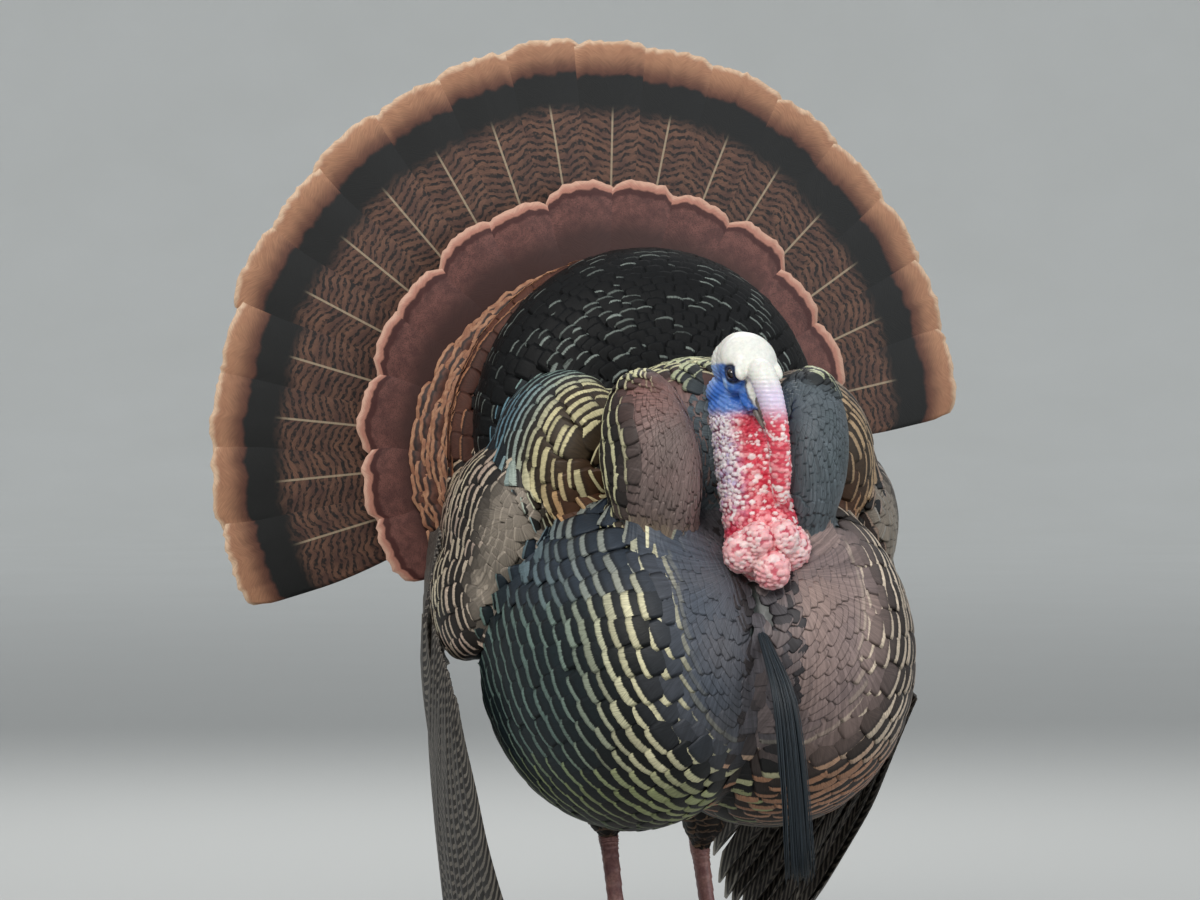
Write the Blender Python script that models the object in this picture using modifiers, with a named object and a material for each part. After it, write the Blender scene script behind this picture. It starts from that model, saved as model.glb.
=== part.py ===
"""A strutting wild turkey tom, life size, as separate closed solids.

Metres, +Z up. The bird looks along -Y, so its left side is +X. The origin is on the
floor, under the middle of the bird. Every solid reaches out to the tips of the feathers
that cover it, and neighbouring solids keep a thin gap.
"""

import math

import bmesh
import bpy
from mathutils import Euler, Matrix, Vector

# ---------------------------------------------------------------- driving dimensions
GAP = 0.0005  # clearance cut between neighbouring solids
WELD = 0.00002  # points this close are one

BODY_HALF_WIDTH = 0.209  # puffed breast, seen from the front
BREAST_FRONT = -0.340
BELLY_HEIGHT = 0.200  # lowest feathers of the belly above the floor
BREAST_HEIGHT = 0.370

TAIL_ROOT = Vector((0.008, 0.140, 0.565))
TAIL_FEATHERS = 18
TAIL_SPREAD = 184.0  # degrees between the two outermost shafts
TAIL_ROLL = 14.0  # degrees, the fan leans to the bird's right
TAIL_LENGTH = 0.417
TAIL_LEAN = 3.0  # degrees, how far every feather leans back out of the fan's plane

COVERT_FEATHERS = 16
COVERT_SPREAD = 196.0
COVERT_LENGTH = 0.268
COVERT_LEAN = 1.0

HEAD_AT = Vector((0.008, -0.250, 0.654))
HEAD_YAW = 10.0  # degrees, the head turns to the bird's left
HEAD_PITCH = 50.0  # degrees, the bill is tucked down
EYE_RADIUS = 0.0062

SHANK_RADIUS = 0.0084

ELBOW = Vector((0.178, 0.060, 0.490))
WRIST = Vector((0.232, -0.020, 0.400))
HAND_END = Vector((0.240, -0.118, 0.322))
DROOP = {"right": 6.0, "left": -6.0}  # degrees, one wing hangs lower than the other
TIP_IN = {"right": 0.095, "left": 0.062}  # how far the foremost wing tip is drawn inwards

SIDES = {"right": -1.0, "left": 1.0}


# ---------------------------------------------------------------- small tools
def clear_scene():
    for old in list(bpy.data.objects):
        bpy.data.objects.remove(old)
    for old in list(bpy.data.collections):
        bpy.data.collections.remove(old)
    bird = bpy.data.collections.new("wild_turkey")
    helpers = bpy.data.collections.new("helpers")
    bpy.context.scene.collection.children.link(bird)
    bpy.context.scene.collection.children.link(helpers)
    helpers.hide_render = True
    return bird, helpers


BIRD, HELPERS = clear_scene()


def material(name, rgb, roughness, metallic=0.0):
    """A Principled material, made once for each finish."""
    found = bpy.data.materials.get(name)
    if found:
        return found
    made = bpy.data.materials.new(name)
    made.use_nodes = True
    shader = made.node_tree.nodes["Principled BSDF"]
    shader.inputs["Base Color"].default_value = (*rgb, 1.0)
    shader.inputs["Roughness"].default_value = roughness
    shader.inputs["Metallic"].default_value = metallic
    made.diffuse_color = (*rgb, 1.0)
    return made


def finishes():
    return {
        "bronze": material("bronze_feather", (0.10, 0.08, 0.05), 0.4, 0.4),
        "black": material("black_feather", (0.02, 0.02, 0.022), 0.45, 0.3),
        "rust": material("rust_feather", (0.25, 0.11, 0.06), 0.55, 0.1),
        "tail": material("tail_feather", (0.16, 0.09, 0.06), 0.6),
        "barred": material("barred_feather", (0.20, 0.18, 0.15), 0.6),
        "skin": material("bare_skin", (0.75, 0.72, 0.78), 0.5),
        "red": material("red_skin", (0.70, 0.12, 0.12), 0.45),
        "horn": material("horn", (0.20, 0.16, 0.13), 0.4),
        "scale": material("leg_scale", (0.45, 0.25, 0.24), 0.5),
        "eye": material("eye", (0.05, 0.03, 0.02), 0.1),
        "beard": material("beard_bristle", (0.03, 0.035, 0.04), 0.5),
    }


FINISH = finishes()


def side_of(point, side):
    """The point of the left side, carried over to the named side."""
    return Vector((point[0] * SIDES[side], point[1], point[2]))


def add_object(name, mesh, finish):
    obj = bpy.data.objects.new(name, mesh)
    BIRD.objects.link(obj)
    mesh.materials.clear()
    mesh.materials.append(FINISH[finish])
    return obj


def face_outwards(bm):
    """Turns the faces of a closed mesh to the outside."""
    bmesh.ops.recalc_face_normals(bm, faces=bm.faces)
    if bm.calc_volume(signed=True) < 0:
        bmesh.ops.reverse_faces(bm, faces=bm.faces)


def settle(obj):
    """Replaces obj by the plain welded mesh that its modifiers or its curve make."""
    bpy.context.view_layer.update()
    graph = bpy.context.evaluated_depsgraph_get()
    mesh = bpy.data.meshes.new_from_object(obj.evaluated_get(graph))
    mesh.transform(obj.matrix_world)
    name, finish = obj.name, obj.data.materials[0]
    home = obj.users_collection[0]
    bpy.data.objects.remove(obj)
    bm = bmesh.new()
    bm.from_mesh(mesh)
    bmesh.ops.remove_doubles(bm, verts=bm.verts, dist=WELD)
    bmesh.ops.triangulate(bm, faces=bm.faces)
    face_outwards(bm)
    bm.to_mesh(mesh)
    bm.free()
    mesh.materials.clear()
    mesh.materials.append(finish)
    made = bpy.data.objects.new(name, mesh)
    home.objects.link(made)
    return made


def smooth(obj, angle=50.0):
    obj.data.shade_smooth()
    obj.data.set_sharp_from_angle(angle=math.radians(angle))
    return obj


def thin_out(obj, triangles):
    """Collapses edges until about that many triangles are left."""
    fewer = obj.modifiers.new("fewer", "DECIMATE")
    fewer.ratio = min(1.0, triangles / len(obj.data.polygons))
    fewer.use_collapse_triangulate = True
    return settle(obj)


def melt(name, forms, cell, triangles, finish, soften=5):
    """One soft solid, melted together from ellipsoids (centre, radii, turn in degrees)."""
    bm = bmesh.new()
    for centre, radii, turn in forms:
        spin = Euler([math.radians(a) for a in turn])
        place = Matrix.LocRotScale(Vector(centre), spin, Vector(radii))
        bmesh.ops.create_uvsphere(
            bm, u_segments=32, v_segments=20, radius=1.0, matrix=place
        )
    mesh = bpy.data.meshes.new(name)
    bm.to_mesh(mesh)
    bm.free()
    obj = add_object(name, mesh, finish)
    fuse = obj.modifiers.new("fuse", "REMESH")
    fuse.mode = "VOXEL"
    fuse.voxel_size = cell
    soft = obj.modifiers.new("soft", "SMOOTH")
    soft.iterations = soften
    soft.factor = 0.5
    return smooth(thin_out(settle(obj), triangles), 80.0)


def tube(name, path, finish, resolution=2):
    """A tapering round piece along path, a list of (point, radius)."""
    curve = bpy.data.curves.new(name, "CURVE")
    curve.dimensions = "3D"
    curve.bevel_depth = 1.0
    curve.bevel_resolution = resolution
    curve.use_fill_caps = True
    spline = curve.splines.new("POLY")
    spline.points.add(len(path) - 1)
    for knot, (point, radius) in zip(spline.points, path):
        knot.co = (*point, 1.0)
        knot.radius = radius
    obj = bpy.data.objects.new(name, curve)
    BIRD.objects.link(obj)
    curve.materials.append(FINISH[finish])
    return smooth(settle(obj))


def sweep(points, radii, steps):
    """(point, radius) pairs on a smooth curve through the given points."""
    path = []
    last = len(points) - 1
    for i in range(steps + 1):
        at = i / steps * last
        k = min(int(at), last - 1)
        t = at - k
        before = points[max(k - 1, 0)]
        after = points[min(k + 2, last)]
        a, b = points[k], points[k + 1]
        point = 0.5 * (
            2 * a
            + (b - before) * t
            + (2 * before - 5 * a + 4 * b - after) * t * t
            + (3 * a - before - 3 * b + after) * t**3
        )
        path.append((point, radii[k] * (1 - t) + radii[k + 1] * t))
    return path


def sheet(name, place_at, columns, rows, thickness, finish):
    """A thin curved plate. place_at(u, v) gives the point for u, v from 0 to 1."""
    bm = bmesh.new()
    bmesh.ops.create_grid(bm, x_segments=columns, y_segments=rows, size=0.5)
    for vert in bm.verts:
        vert.co = place_at(vert.co.x + 0.5, vert.co.y + 0.5)
    mesh = bpy.data.meshes.new(name)
    bm.to_mesh(mesh)
    bm.free()
    obj = add_object(name, mesh, finish)
    wall = obj.modifiers.new("wall", "SOLIDIFY")
    wall.thickness = thickness
    wall.offset = 0.0
    return smooth(settle(obj), 40.0)


def grown(obj, by):
    """A helper copy of obj, swollen by that much, to cut its neighbours with."""
    bm = bmesh.new()
    bm.from_mesh(obj.data)
    moves = [vert.normal * by * min(vert.calc_shell_factor(), 3.0) for vert in bm.verts]
    for vert, move in zip(bm.verts, moves):
        vert.co += move
    mesh = bpy.data.meshes.new(obj.name + "_cutter")
    bm.to_mesh(mesh)
    bm.free()
    cutter = bpy.data.objects.new(obj.name + "_cutter", mesh)
    HELPERS.objects.link(cutter)
    cutter.hide_render = True
    cutter.display_type = "WIRE"
    return cutter


def keep_largest(obj):
    """Drops the crumbs that a cut may leave."""
    bm = bmesh.new()
    bm.from_mesh(obj.data)
    todo, islands = set(bm.verts), []
    while todo:
        island, front = set(), [todo.pop()]
        while front:
            vert = front.pop()
            island.add(vert)
            for edge in vert.link_edges:
                other = edge.other_vert(vert)
                if other in todo:
                    todo.remove(other)
                    front.append(other)
        islands.append(island)
    islands.sort(key=len)
    for island in islands[:-1]:
        bmesh.ops.delete(bm, geom=list(island), context="VERTS")
    face_outwards(bm)
    bm.to_mesh(obj.data)
    bm.free()
    return obj


def volume_of(obj):
    """Volume of a closed mesh, or zero where an edge lacks one of its two faces."""
    bm = bmesh.new()
    bm.from_mesh(obj.data)
    whole = len(bm.faces) > 3 and all(len(edge.link_faces) == 2 for edge in bm.edges)
    volume = bm.calc_volume() if whole else 0.0
    bm.free()
    return volume


def combine(obj, other, operation):
    """A Boolean with other, which it uses up. MANIFOLD steps in where EXACT tears."""
    before = volume_of(obj)
    for solver in ("EXACT", "MANIFOLD"):
        trial = obj.copy()
        trial.data = obj.data.copy()
        obj.users_collection[0].objects.link(trial)
        mix = trial.modifiers.new(operation.lower(), "BOOLEAN")
        mix.operation = operation
        mix.solver = solver
        mix.object = other
        made = keep_largest(settle(trial))
        if volume_of(made) > 0.25 * before:
            break
        if solver == "EXACT":
            bpy.data.objects.remove(made)
    name = obj.name
    bpy.data.objects.remove(obj)
    bpy.data.objects.remove(other)
    made.name = name
    return made


def carve(obj, neighbours, gap=GAP):
    """Cuts the neighbours' shapes, with a thin gap round them, out of obj."""
    for other in neighbours:
        obj = combine(obj, grown(other, gap), "DIFFERENCE")
    return smooth(obj, 60.0)


def trim_at_floor(obj):
    """Cuts obj flat at the floor, so that it stands on a small flat."""
    bm = bmesh.new()
    bm.from_mesh(obj.data)
    everything = list(bm.verts) + list(bm.edges) + list(bm.faces)
    cut = bmesh.ops.bisect_plane(
        bm,
        geom=everything,
        dist=1e-6,
        plane_co=(0, 0, 0),
        plane_no=(0, 0, -1),
        clear_outer=True,
    )
    rim = [e for e in cut["geom_cut"] if isinstance(e, bmesh.types.BMEdge)]
    bmesh.ops.contextual_create(bm, geom=rim)
    bmesh.ops.triangulate(bm, faces=[f for f in bm.faces if len(f.verts) > 4])
    face_outwards(bm)
    bm.to_mesh(obj.data)
    bm.free()
    return obj


# ---------------------------------------------------------------- trunk and its plumage
def both(centre, radii, turn=(0, 0, 0)):
    """The same form on the left and on the right."""
    cx, cy, cz = centre
    tx, ty, tz = turn
    return [
        ((cx, cy, cz), radii, (tx, ty, tz)),
        ((-cx, cy, cz), radii, (tx, -ty, -tz)),
    ]


def make_trunk():
    """Barrel of the body: two breast lobes with a cleft, the belly and the vent."""
    lobe_centre = (0.070, -0.135, BREAST_HEIGHT)
    lobe = (
        BODY_HALF_WIDTH - lobe_centre[0],
        lobe_centre[1] - BREAST_FRONT,
        BREAST_HEIGHT - BELLY_HEIGHT,
    )
    forms = both(lobe_centre, lobe)
    forms += [((0.0, -0.050, 0.430), (0.170, 0.200, 0.170), (0, 0, 0))]
    forms += [((0.0, 0.040, 0.380), (0.145, 0.120, 0.125), (0, 0, 0))]
    forms += [((0.0, 0.060, 0.490), (0.110, 0.066, 0.110), (0, 0, 0))]
    forms += both((0.124, -0.100, 0.560), (0.072, 0.092, 0.092))
    return melt("trunk", forms, 0.010, 660, "bronze", soften=14)


def make_neck(trunk):
    """Feathered neck: a high collar of two lobes, open at the front."""
    forms = [((-0.082, -0.236, 0.560), (0.052, 0.066, 0.098), (0, -8, 0))]
    forms += [((0.070, -0.236, 0.560), (0.050, 0.066, 0.098), (0, 8, 0))]
    forms += [((-0.006, -0.150, 0.570), (0.100, 0.085, 0.095), (0, 0, 0))]
    return carve(melt("neck_collar", forms, 0.008, 300, "bronze"), [trunk])


def make_mantle(trunk, neck):
    """Raised feathers of the upper back, a dome behind the head."""
    forms = [((0.0, 0.005, 0.590), (0.186, 0.095, 0.185), (0, 0, 0))]
    return carve(melt("mantle", forms, 0.010, 220, "black"), [trunk, neck])


def fan_frame():
    """The fan's own axes: out of the paper to the front, sideways and up."""
    roll = Matrix.Rotation(math.radians(-TAIL_ROLL), 3, "Y")
    return roll @ Vector((1, 0, 0)), roll @ Vector((0, 0, 1))


def fan_point(angle, radius, lean, forward=0.0):
    """A point of the fan: angle in degrees from its middle, positive to the left."""
    sideways, up = fan_frame()
    a, b = math.radians(angle), math.radians(lean)
    out = sideways * math.sin(a) + up * math.cos(a)
    back = Vector((0, 1, 0))
    return TAIL_ROOT + (out * math.cos(b) + back * math.sin(b)) * radius - back * forward


def feathered_fan(name, count, spread, length, inner, lean, forward, thickness, finish):
    """A fan of overlapping feathers as one plate, with a scalloped rim and small steps."""
    pitch = spread / (count - 1)
    columns_each = 3
    overlap_step = 0.0016
    tip_depth = 0.024 * length

    def place(u, v):
        along = u * count * columns_each
        feather = min(int(along / columns_each + 1e-6), count - 1)
        local = along / columns_each - feather
        side = 2 * local - 1
        angle = (feather - (count - 1) / 2 + side / 2) * pitch
        from_middle = abs(angle) / (spread / 2)
        reach = length * (1 - 0.035 * from_middle**2)
        rim = reach - tip_depth * abs(side) ** 3
        radius = inner + (rim - inner) * v
        step = overlap_step * (0.5 - local) * min(1.0, v * 3)
        return fan_point(angle, radius, lean, forward + step)

    return sheet(name, place, count * columns_each, 2, thickness, finish)


def make_rump(*neighbours):
    """Bronze feathers of the rump, standing up as a thick lens round the tail's root."""
    lens = Vector((0.200, 0.045, 0.205))
    centre = TAIL_ROOT + Vector((0, -0.064, 0))
    obj = melt("rump", [(centre, lens, (0, -TAIL_ROLL, 0))], 0.008, 170, "rust")
    return carve(obj, neighbours)


def make_undertail(*neighbours):
    """Fluffy coverts on the back of the fan and round the vent."""
    centre = TAIL_ROOT + Vector((0, 0.053, -0.030))
    forms = [(centre, (0.150, 0.034, 0.170), (0, -TAIL_ROLL, 0))]
    forms += [((0.0, 0.135, 0.430), (0.105, 0.070, 0.100), (0, 0, 0))]
    return carve(melt("undertail", forms, 0.008, 190, "black"), neighbours)


# ---------------------------------------------------------------- head
HEAD_TURN = (
    Matrix.Translation(HEAD_AT)
    @ Matrix.Rotation(math.radians(HEAD_YAW), 4, "Z")
    @ Matrix.Rotation(math.radians(HEAD_PITCH), 4, "X")
)


def on_head(obj):
    """Carries a piece from the head's own frame, bill along -Y, to its place."""
    obj.data.transform(HEAD_TURN)
    return obj


def make_eye(side):
    at = side_of((0.0222, -0.0130, 0.0050), side)
    bm = bmesh.new()
    bmesh.ops.create_uvsphere(
        bm,
        u_segments=10,
        v_segments=6,
        radius=EYE_RADIUS,
        matrix=Matrix.Translation(at) @ Matrix.Rotation(math.radians(90), 4, "Y"),
    )
    mesh = bpy.data.meshes.new("eye_" + side)
    bm.to_mesh(mesh)
    bm.free()
    return settle(on_head(smooth(add_object("eye_" + side, mesh, "eye"), 180.0)))


def make_head(eyes):
    """Bare skull with a swollen crown, brows and cheeks."""
    forms = [
        ((0.0, 0.004, 0.000), (0.0270, 0.0380, 0.0265), (0, 0, 0)),
        ((0.0, 0.004, 0.010), (0.0262, 0.0340, 0.0240), (0, 0, 0)),
        ((0.0, -0.029, -0.003), (0.0150, 0.0200, 0.0165), (0, 0, 0)),
        ((0.0, 0.012, -0.014), (0.0240, 0.0280, 0.0220), (0, 0, 0)),
    ]
    forms += both((0.0190, -0.014, 0.0130), (0.0070, 0.0140, 0.0060), (0, 0, 10))
    forms += both((0.0160, -0.011, -0.0080), (0.0090, 0.0140, 0.0100))
    head = on_head(melt("head", forms, 0.0022, 420, "skin", soften=3))
    return carve(head, eyes, 0.0003)


def make_bill(head):
    """Short, stout bill: the upper half hooks over the lower one."""
    upper_path = [
        (Vector((0, -0.034, 0.0030)), 0.0098),
        (Vector((0, -0.048, 0.0020)), 0.0086),
        (Vector((0, -0.060, -0.0015)), 0.0062),
        (Vector((0, -0.070, -0.0070)), 0.0036),
        (Vector((0, -0.0745, -0.0125)), 0.0012),
    ]
    lower_path = [
        (Vector((0, -0.034, -0.0100)), 0.0072),
        (Vector((0, -0.048, -0.0112)), 0.0062),
        (Vector((0, -0.060, -0.0128)), 0.0042),
        (Vector((0, -0.068, -0.0142)), 0.0018),
    ]
    upper = on_head(tube("bill_upper", upper_path, "horn"))
    lower = on_head(tube("bill_lower", lower_path, "horn"))
    upper = carve(upper, [head])
    return upper, carve(lower, [head, upper])


def make_throat(head, *neighbours):
    """Bare neck below the head, a warty column that leans out over the breast."""
    top, foot = Vector((0.010, -0.222, 0.628)), Vector((0.018, -0.268, 0.490))
    forms = []
    steps = 7
    for i in range(steps + 1):
        t = i / steps
        radius = 0.0310 + 0.0055 * t
        forms.append((top.lerp(foot, t), (radius, radius, 0.022), (0, 0, 0)))
    obj = melt("throat", forms, 0.005, 170, "red")
    return carve(obj, [head, *neighbours])


def make_caruncles(*neighbours):
    """Big fleshy lobes at the foot of the throat, lying on the breast."""
    lobes = [
        ((-0.012, -0.290, 0.476), 0.0180),
        ((0.038, -0.288, 0.480), 0.0195),
        ((0.014, -0.303, 0.460), 0.0170),
        ((0.000, -0.300, 0.488), 0.0150),
        ((0.026, -0.302, 0.490), 0.0150),
        ((0.012, -0.274, 0.472), 0.0230),
    ]
    forms = [(centre, (r, r, r * 1.12), (0, 0, 0)) for centre, r in lobes]
    return carve(melt("caruncles", forms, 0.0035, 260, "red", soften=2), neighbours)


def make_snood(*neighbours):
    """Finger of skin that hangs from the forehead down in front of the bill."""
    points = [
        HEAD_TURN @ Vector((0.001, -0.030, 0.0165)),
        Vector((0.019, -0.304, 0.628)),
        Vector((0.025, -0.310, 0.600)),
        Vector((0.026, -0.308, 0.565)),
        Vector((0.025, -0.305, 0.530)),
    ]
    radii = [0.0078, 0.0074, 0.0076, 0.0080, 0.0040]
    return carve(tube("snood", sweep(points, radii, 9), "red"), neighbours)


# ---------------------------------------------------------------- beard, wings, legs
def make_beard(trunk):
    """Bundle of bristles that hangs from the cleft of the breast."""
    points = [
        Vector((0.000, BREAST_FRONT + 0.024, 0.412)),
        Vector((0.001, BREAST_FRONT + 0.002, 0.388)),
        Vector((0.007, BREAST_FRONT - 0.017, 0.330)),
        Vector((0.014, BREAST_FRONT - 0.021, 0.255)),
        Vector((0.020, BREAST_FRONT - 0.020, 0.172)),
    ]
    radii = [0.0040, 0.0065, 0.0110, 0.0125, 0.0040]
    return carve(tube("beard", sweep(points, radii, 8), "beard"), [trunk])


def make_wing_shield(side, *neighbours):
    """Coverts over the folded arm, from the shoulder down to the wrist."""
    forms = [
        (side_of((0.178, -0.070, 0.492), side), (0.052, 0.100, 0.086), (0, 0, 0)),
        (side_of((0.206, -0.050, 0.425), side), (0.034, 0.072, 0.066), (0, 0, 0)),
        (side_of((0.160, 0.030, 0.485), side), (0.042, 0.080, 0.075), (0, 0, 0)),
    ]
    obj = melt("wing_coverts_" + side, forms, 0.008, 180, "bronze", soften=10)
    return carve(obj, neighbours)


def flight_plate(name, side, roots, headings, lengths, inward, count, finish):
    """Overlapping flight feathers as one plate with a stepped rim.

    roots, headings (degrees below level) and inward each run from the first feather to
    the last one, and lengths from the first over the middle one to the last.
    """
    columns_each = 3
    thickness = 0.0030
    step = 0.0014
    bow = 0.008
    tip_rounding = 0.05

    def place(u, v):
        feather = min(int(u * count + 1e-6), count - 1)
        across = 2 * (u * count - feather) - 1
        middle = (feather + 0.5) / count
        length = (1 - middle) * lengths[0] + middle * lengths[2]
        length += 4 * middle * (1 - middle) * (lengths[1] - (lengths[0] + lengths[2]) / 2)
        reach = length * (1 - tip_rounding * abs(across) ** 3) * v
        heading = math.radians(headings[0] + (headings[1] - headings[0]) * u + DROOP[side])
        run = Vector((0, math.cos(heading), -math.sin(heading)))
        point = roots[0].lerp(roots[1], u) + run * reach
        point.x += bow * math.sin(math.pi * v)
        point.x -= (inward[0] + (inward[1] - inward[0]) * u) * v
        point.x -= step * across * 0.5
        return side_of(point, side)

    return sheet(name, place, count * columns_each, 2, thickness, finish)


def make_secondaries(side, *neighbours):
    obj = flight_plate(
        "wing_secondaries_" + side,
        side,
        (ELBOW + Vector((0.018, 0, 0)), WRIST + Vector((0.010, 0, 0))),
        (20.0, 44.0),
        (0.170, 0.225, 0.265),
        (0.045, 0.085),
        9,
        "barred",
    )
    return carve(obj, neighbours)


def make_primaries(side, *neighbours):
    obj = flight_plate(
        "wing_primaries_" + side,
        side,
        (WRIST, HAND_END),
        (50.0, 62.0),
        (0.350, 0.375, 0.285),
        (0.080, TIP_IN[side]),
        9,
        "barred",
    )
    return trim_at_floor(carve(obj, neighbours))


HOCK = {"right": Vector((0.042, 0.000, 0.184)), "left": Vector((0.070, 0.040, 0.168))}
FOOT = {"right": Vector((0.044, -0.062, 0.016)), "left": Vector((0.072, -0.012, 0.016))}
HIP = Vector((0.062, -0.035, 0.300))
TOES = {  # heading in degrees from straight ahead, length, radius at the root
    "inner": (-34.0, 0.052, 0.0082),
    "middle": (2.0, 0.078, 0.0090),
    "outer": (36.0, 0.058, 0.0082),
    "hind": (172.0, 0.026, 0.0066),
}
TOE_RINGS = 5
CLAW_LENGTH = 0.017


def make_thigh(side, *neighbours):
    """Feathered drumstick from the belly to the hock."""
    hock = side_of(HOCK[side], side)
    top = side_of(HIP, side)
    forms = []
    steps = 7
    for i in range(steps + 1):
        t = i / steps
        radius = 0.062 * (1 - t) ** 0.8 + 0.0135
        at = top.lerp(hock, t * 0.96)
        forms.append((at, (radius * 0.8, radius, 0.024 * (1 - 0.5 * t)), (0, 0, 0)))
    return carve(melt("thigh_" + side, forms, 0.005, 120, "black"), neighbours)


def make_shank(side, thigh):
    hock, foot = side_of(HOCK[side], side), side_of(FOOT[side], side)
    points = [hock, hock.lerp(foot, 0.12), hock.lerp(foot, 0.5), foot]
    radii = [0.0098, SHANK_RADIUS, SHANK_RADIUS * 0.92, SHANK_RADIUS * 1.1]
    return carve(tube("shank_" + side, sweep(points, radii, 6), "scale"), [thigh])


def toe_heading(side, toe):
    angle = math.radians(TOES[toe][0]) * SIDES[side]
    return Vector((math.sin(angle), -math.cos(angle), 0))


def make_foot(side, shank):
    """Pad and four toes in one piece, flat underneath."""
    root = side_of(FOOT[side], side)
    pad = melt(
        "foot_" + side,
        [(root + Vector((0, 0, -0.0050)), (0.014, 0.0155, 0.0125), (0, 0, 0))],
        0.003,
        90,
        "scale",
    )
    toes = []
    for toe, (_, length, radius) in TOES.items():
        ahead = toe_heading(side, toe)
        path = []
        for i in range(TOE_RINGS):
            t = i / (TOE_RINGS - 1)
            thick = radius * (1 - 0.32 * t) * (1.08 if i % 2 else 0.94)
            height = thick * 0.86 + 0.004 * (1 - t) ** 2
            path.append((Vector((root.x, root.y, 0)) + ahead * length * t
                         + Vector((0, 0, height)), thick))
        toes.append(tube("toe_" + toe, path, "scale", 1))
    foot = pad
    for toe in toes:
        foot = combine(foot, toe, "UNION")
    return trim_at_floor(carve(foot, [shank]))


def make_claw(side, toe, foot):
    root = side_of(FOOT[side], side)
    _, length, radius = TOES[toe]
    ahead = toe_heading(side, toe)
    start = Vector((root.x, root.y, 0)) + ahead * (length - 0.003)
    points = [
        start + Vector((0, 0, radius * 0.62)),
        start + ahead * CLAW_LENGTH * 0.5 + Vector((0, 0, radius * 0.66)),
        start + ahead * CLAW_LENGTH + Vector((0, 0, radius * 0.18)),
    ]
    radii = [radius * 0.48, radius * 0.36, 0.0007]
    claw = tube(f"claw_{toe}_{side}", sweep(points, radii, 3), "horn", 1)
    return carve(claw, [foot])


def make_spur(side, shank):
    hock, foot = side_of(HOCK[side], side), side_of(FOOT[side], side)
    at = hock.lerp(foot, 0.66)
    out = Vector((-0.45 * SIDES[side], 0.85, 0.0))
    points = [at, at + out * 0.014, at + out * 0.027 + Vector((0, 0, 0.007))]
    spur = tube("spur_" + side, sweep(points, [0.0052, 0.0044, 0.0008], 4), "horn", 1)
    return carve(spur, [shank])


# ---------------------------------------------------------------- assembly
def centre_on_floor():
    """Moves the bird so that the origin is on the floor, under the middle of its box."""
    corners = [v.co for o in BIRD.objects for v in o.data.vertices]
    middle = [(min(c[k] for c in corners) + max(c[k] for c in corners)) / 2 for k in (0, 1)]
    shift = Vector((-middle[0], -middle[1], 0))
    for obj in BIRD.objects:
        obj.data.transform(Matrix.Translation(shift))


def build():
    trunk = make_trunk()
    neck = make_neck(trunk)
    mantle = make_mantle(trunk, neck)
    rump = make_rump(trunk, mantle, neck)
    coverts = feathered_fan(
        "tail_coverts",
        COVERT_FEATHERS,
        COVERT_SPREAD,
        COVERT_LENGTH,
        0.060,
        COVERT_LEAN,
        0.012,
        0.0040,
        "rust",
    )
    coverts = carve(coverts, [trunk, rump])
    fan = feathered_fan(
        "tail_fan",
        TAIL_FEATHERS,
        TAIL_SPREAD,
        TAIL_LENGTH,
        0.060,
        TAIL_LEAN,
        0.000,
        0.0030,
        "tail",
    )
    fan = carve(fan, [trunk, rump, coverts])
    undertail = make_undertail(trunk, fan, coverts, rump)

    eyes = [make_eye(side) for side in SIDES]
    head = make_head(eyes)
    upper, lower = make_bill(head)
    neck = carve(neck, [head])
    throat = make_throat(head, neck, trunk, mantle, upper, lower)
    caruncles = make_caruncles(throat, trunk, neck)
    make_snood(head, upper, lower, throat, caruncles, neck)
    make_beard(trunk)

    for side in SIDES:
        shield = make_wing_shield(side, trunk, mantle, rump)
        primaries = make_primaries(side, shield)
        make_secondaries(side, shield, primaries, trunk, rump, undertail, coverts, fan)
        thigh = make_thigh(side, trunk)
        shank = make_shank(side, thigh)
        foot = make_foot(side, shank)
        for toe in TOES:
            make_claw(side, toe, foot)
        make_spur(side, shank)
    centre_on_floor()


build()
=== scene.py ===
"""Wild turkey tom in full strut: bare skin, plumage, horn and legs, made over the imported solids.

Metres, +Z up. The bird looks along -Y, so its left side is +X.
"""

import math
from itertools import product

import bmesh
import bpy
import numpy as np
from bpy.props import FloatProperty, FloatVectorProperty, IntProperty, PointerProperty
from mathutils import Euler, Matrix, Quaternion, Vector
from mathutils.bvhtree import BVHTree
from mathutils.kdtree import KDTree


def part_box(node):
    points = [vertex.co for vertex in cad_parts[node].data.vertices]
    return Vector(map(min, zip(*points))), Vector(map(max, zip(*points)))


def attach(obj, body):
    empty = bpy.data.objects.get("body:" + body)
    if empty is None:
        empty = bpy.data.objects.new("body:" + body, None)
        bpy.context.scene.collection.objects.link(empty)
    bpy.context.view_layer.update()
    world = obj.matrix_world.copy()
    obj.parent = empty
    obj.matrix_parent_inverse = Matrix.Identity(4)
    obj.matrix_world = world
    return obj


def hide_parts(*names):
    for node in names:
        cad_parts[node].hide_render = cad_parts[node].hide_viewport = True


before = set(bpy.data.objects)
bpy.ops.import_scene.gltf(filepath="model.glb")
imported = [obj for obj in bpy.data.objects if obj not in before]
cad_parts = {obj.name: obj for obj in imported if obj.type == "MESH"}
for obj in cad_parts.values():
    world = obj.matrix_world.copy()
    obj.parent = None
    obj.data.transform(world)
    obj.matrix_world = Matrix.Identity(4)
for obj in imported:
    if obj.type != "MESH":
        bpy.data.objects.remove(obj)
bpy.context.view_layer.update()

bl_info = {
    "name": "Strutting wild turkey",
    "version": (1, 0, 0),
    "blender": (4, 5, 0),
    "location": "3D View > Sidebar > Turkey",
    "description": "Skin, plumage, head, legs and studio of a life-size wild turkey",
    "category": "Object",
}

SIDES = {"right": -1.0, "left": 1.0}
UP, FRONT, BACK = Vector((0, 0, 1)), Vector((0, -1, 0)), Vector((0, 1, 0))


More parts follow.
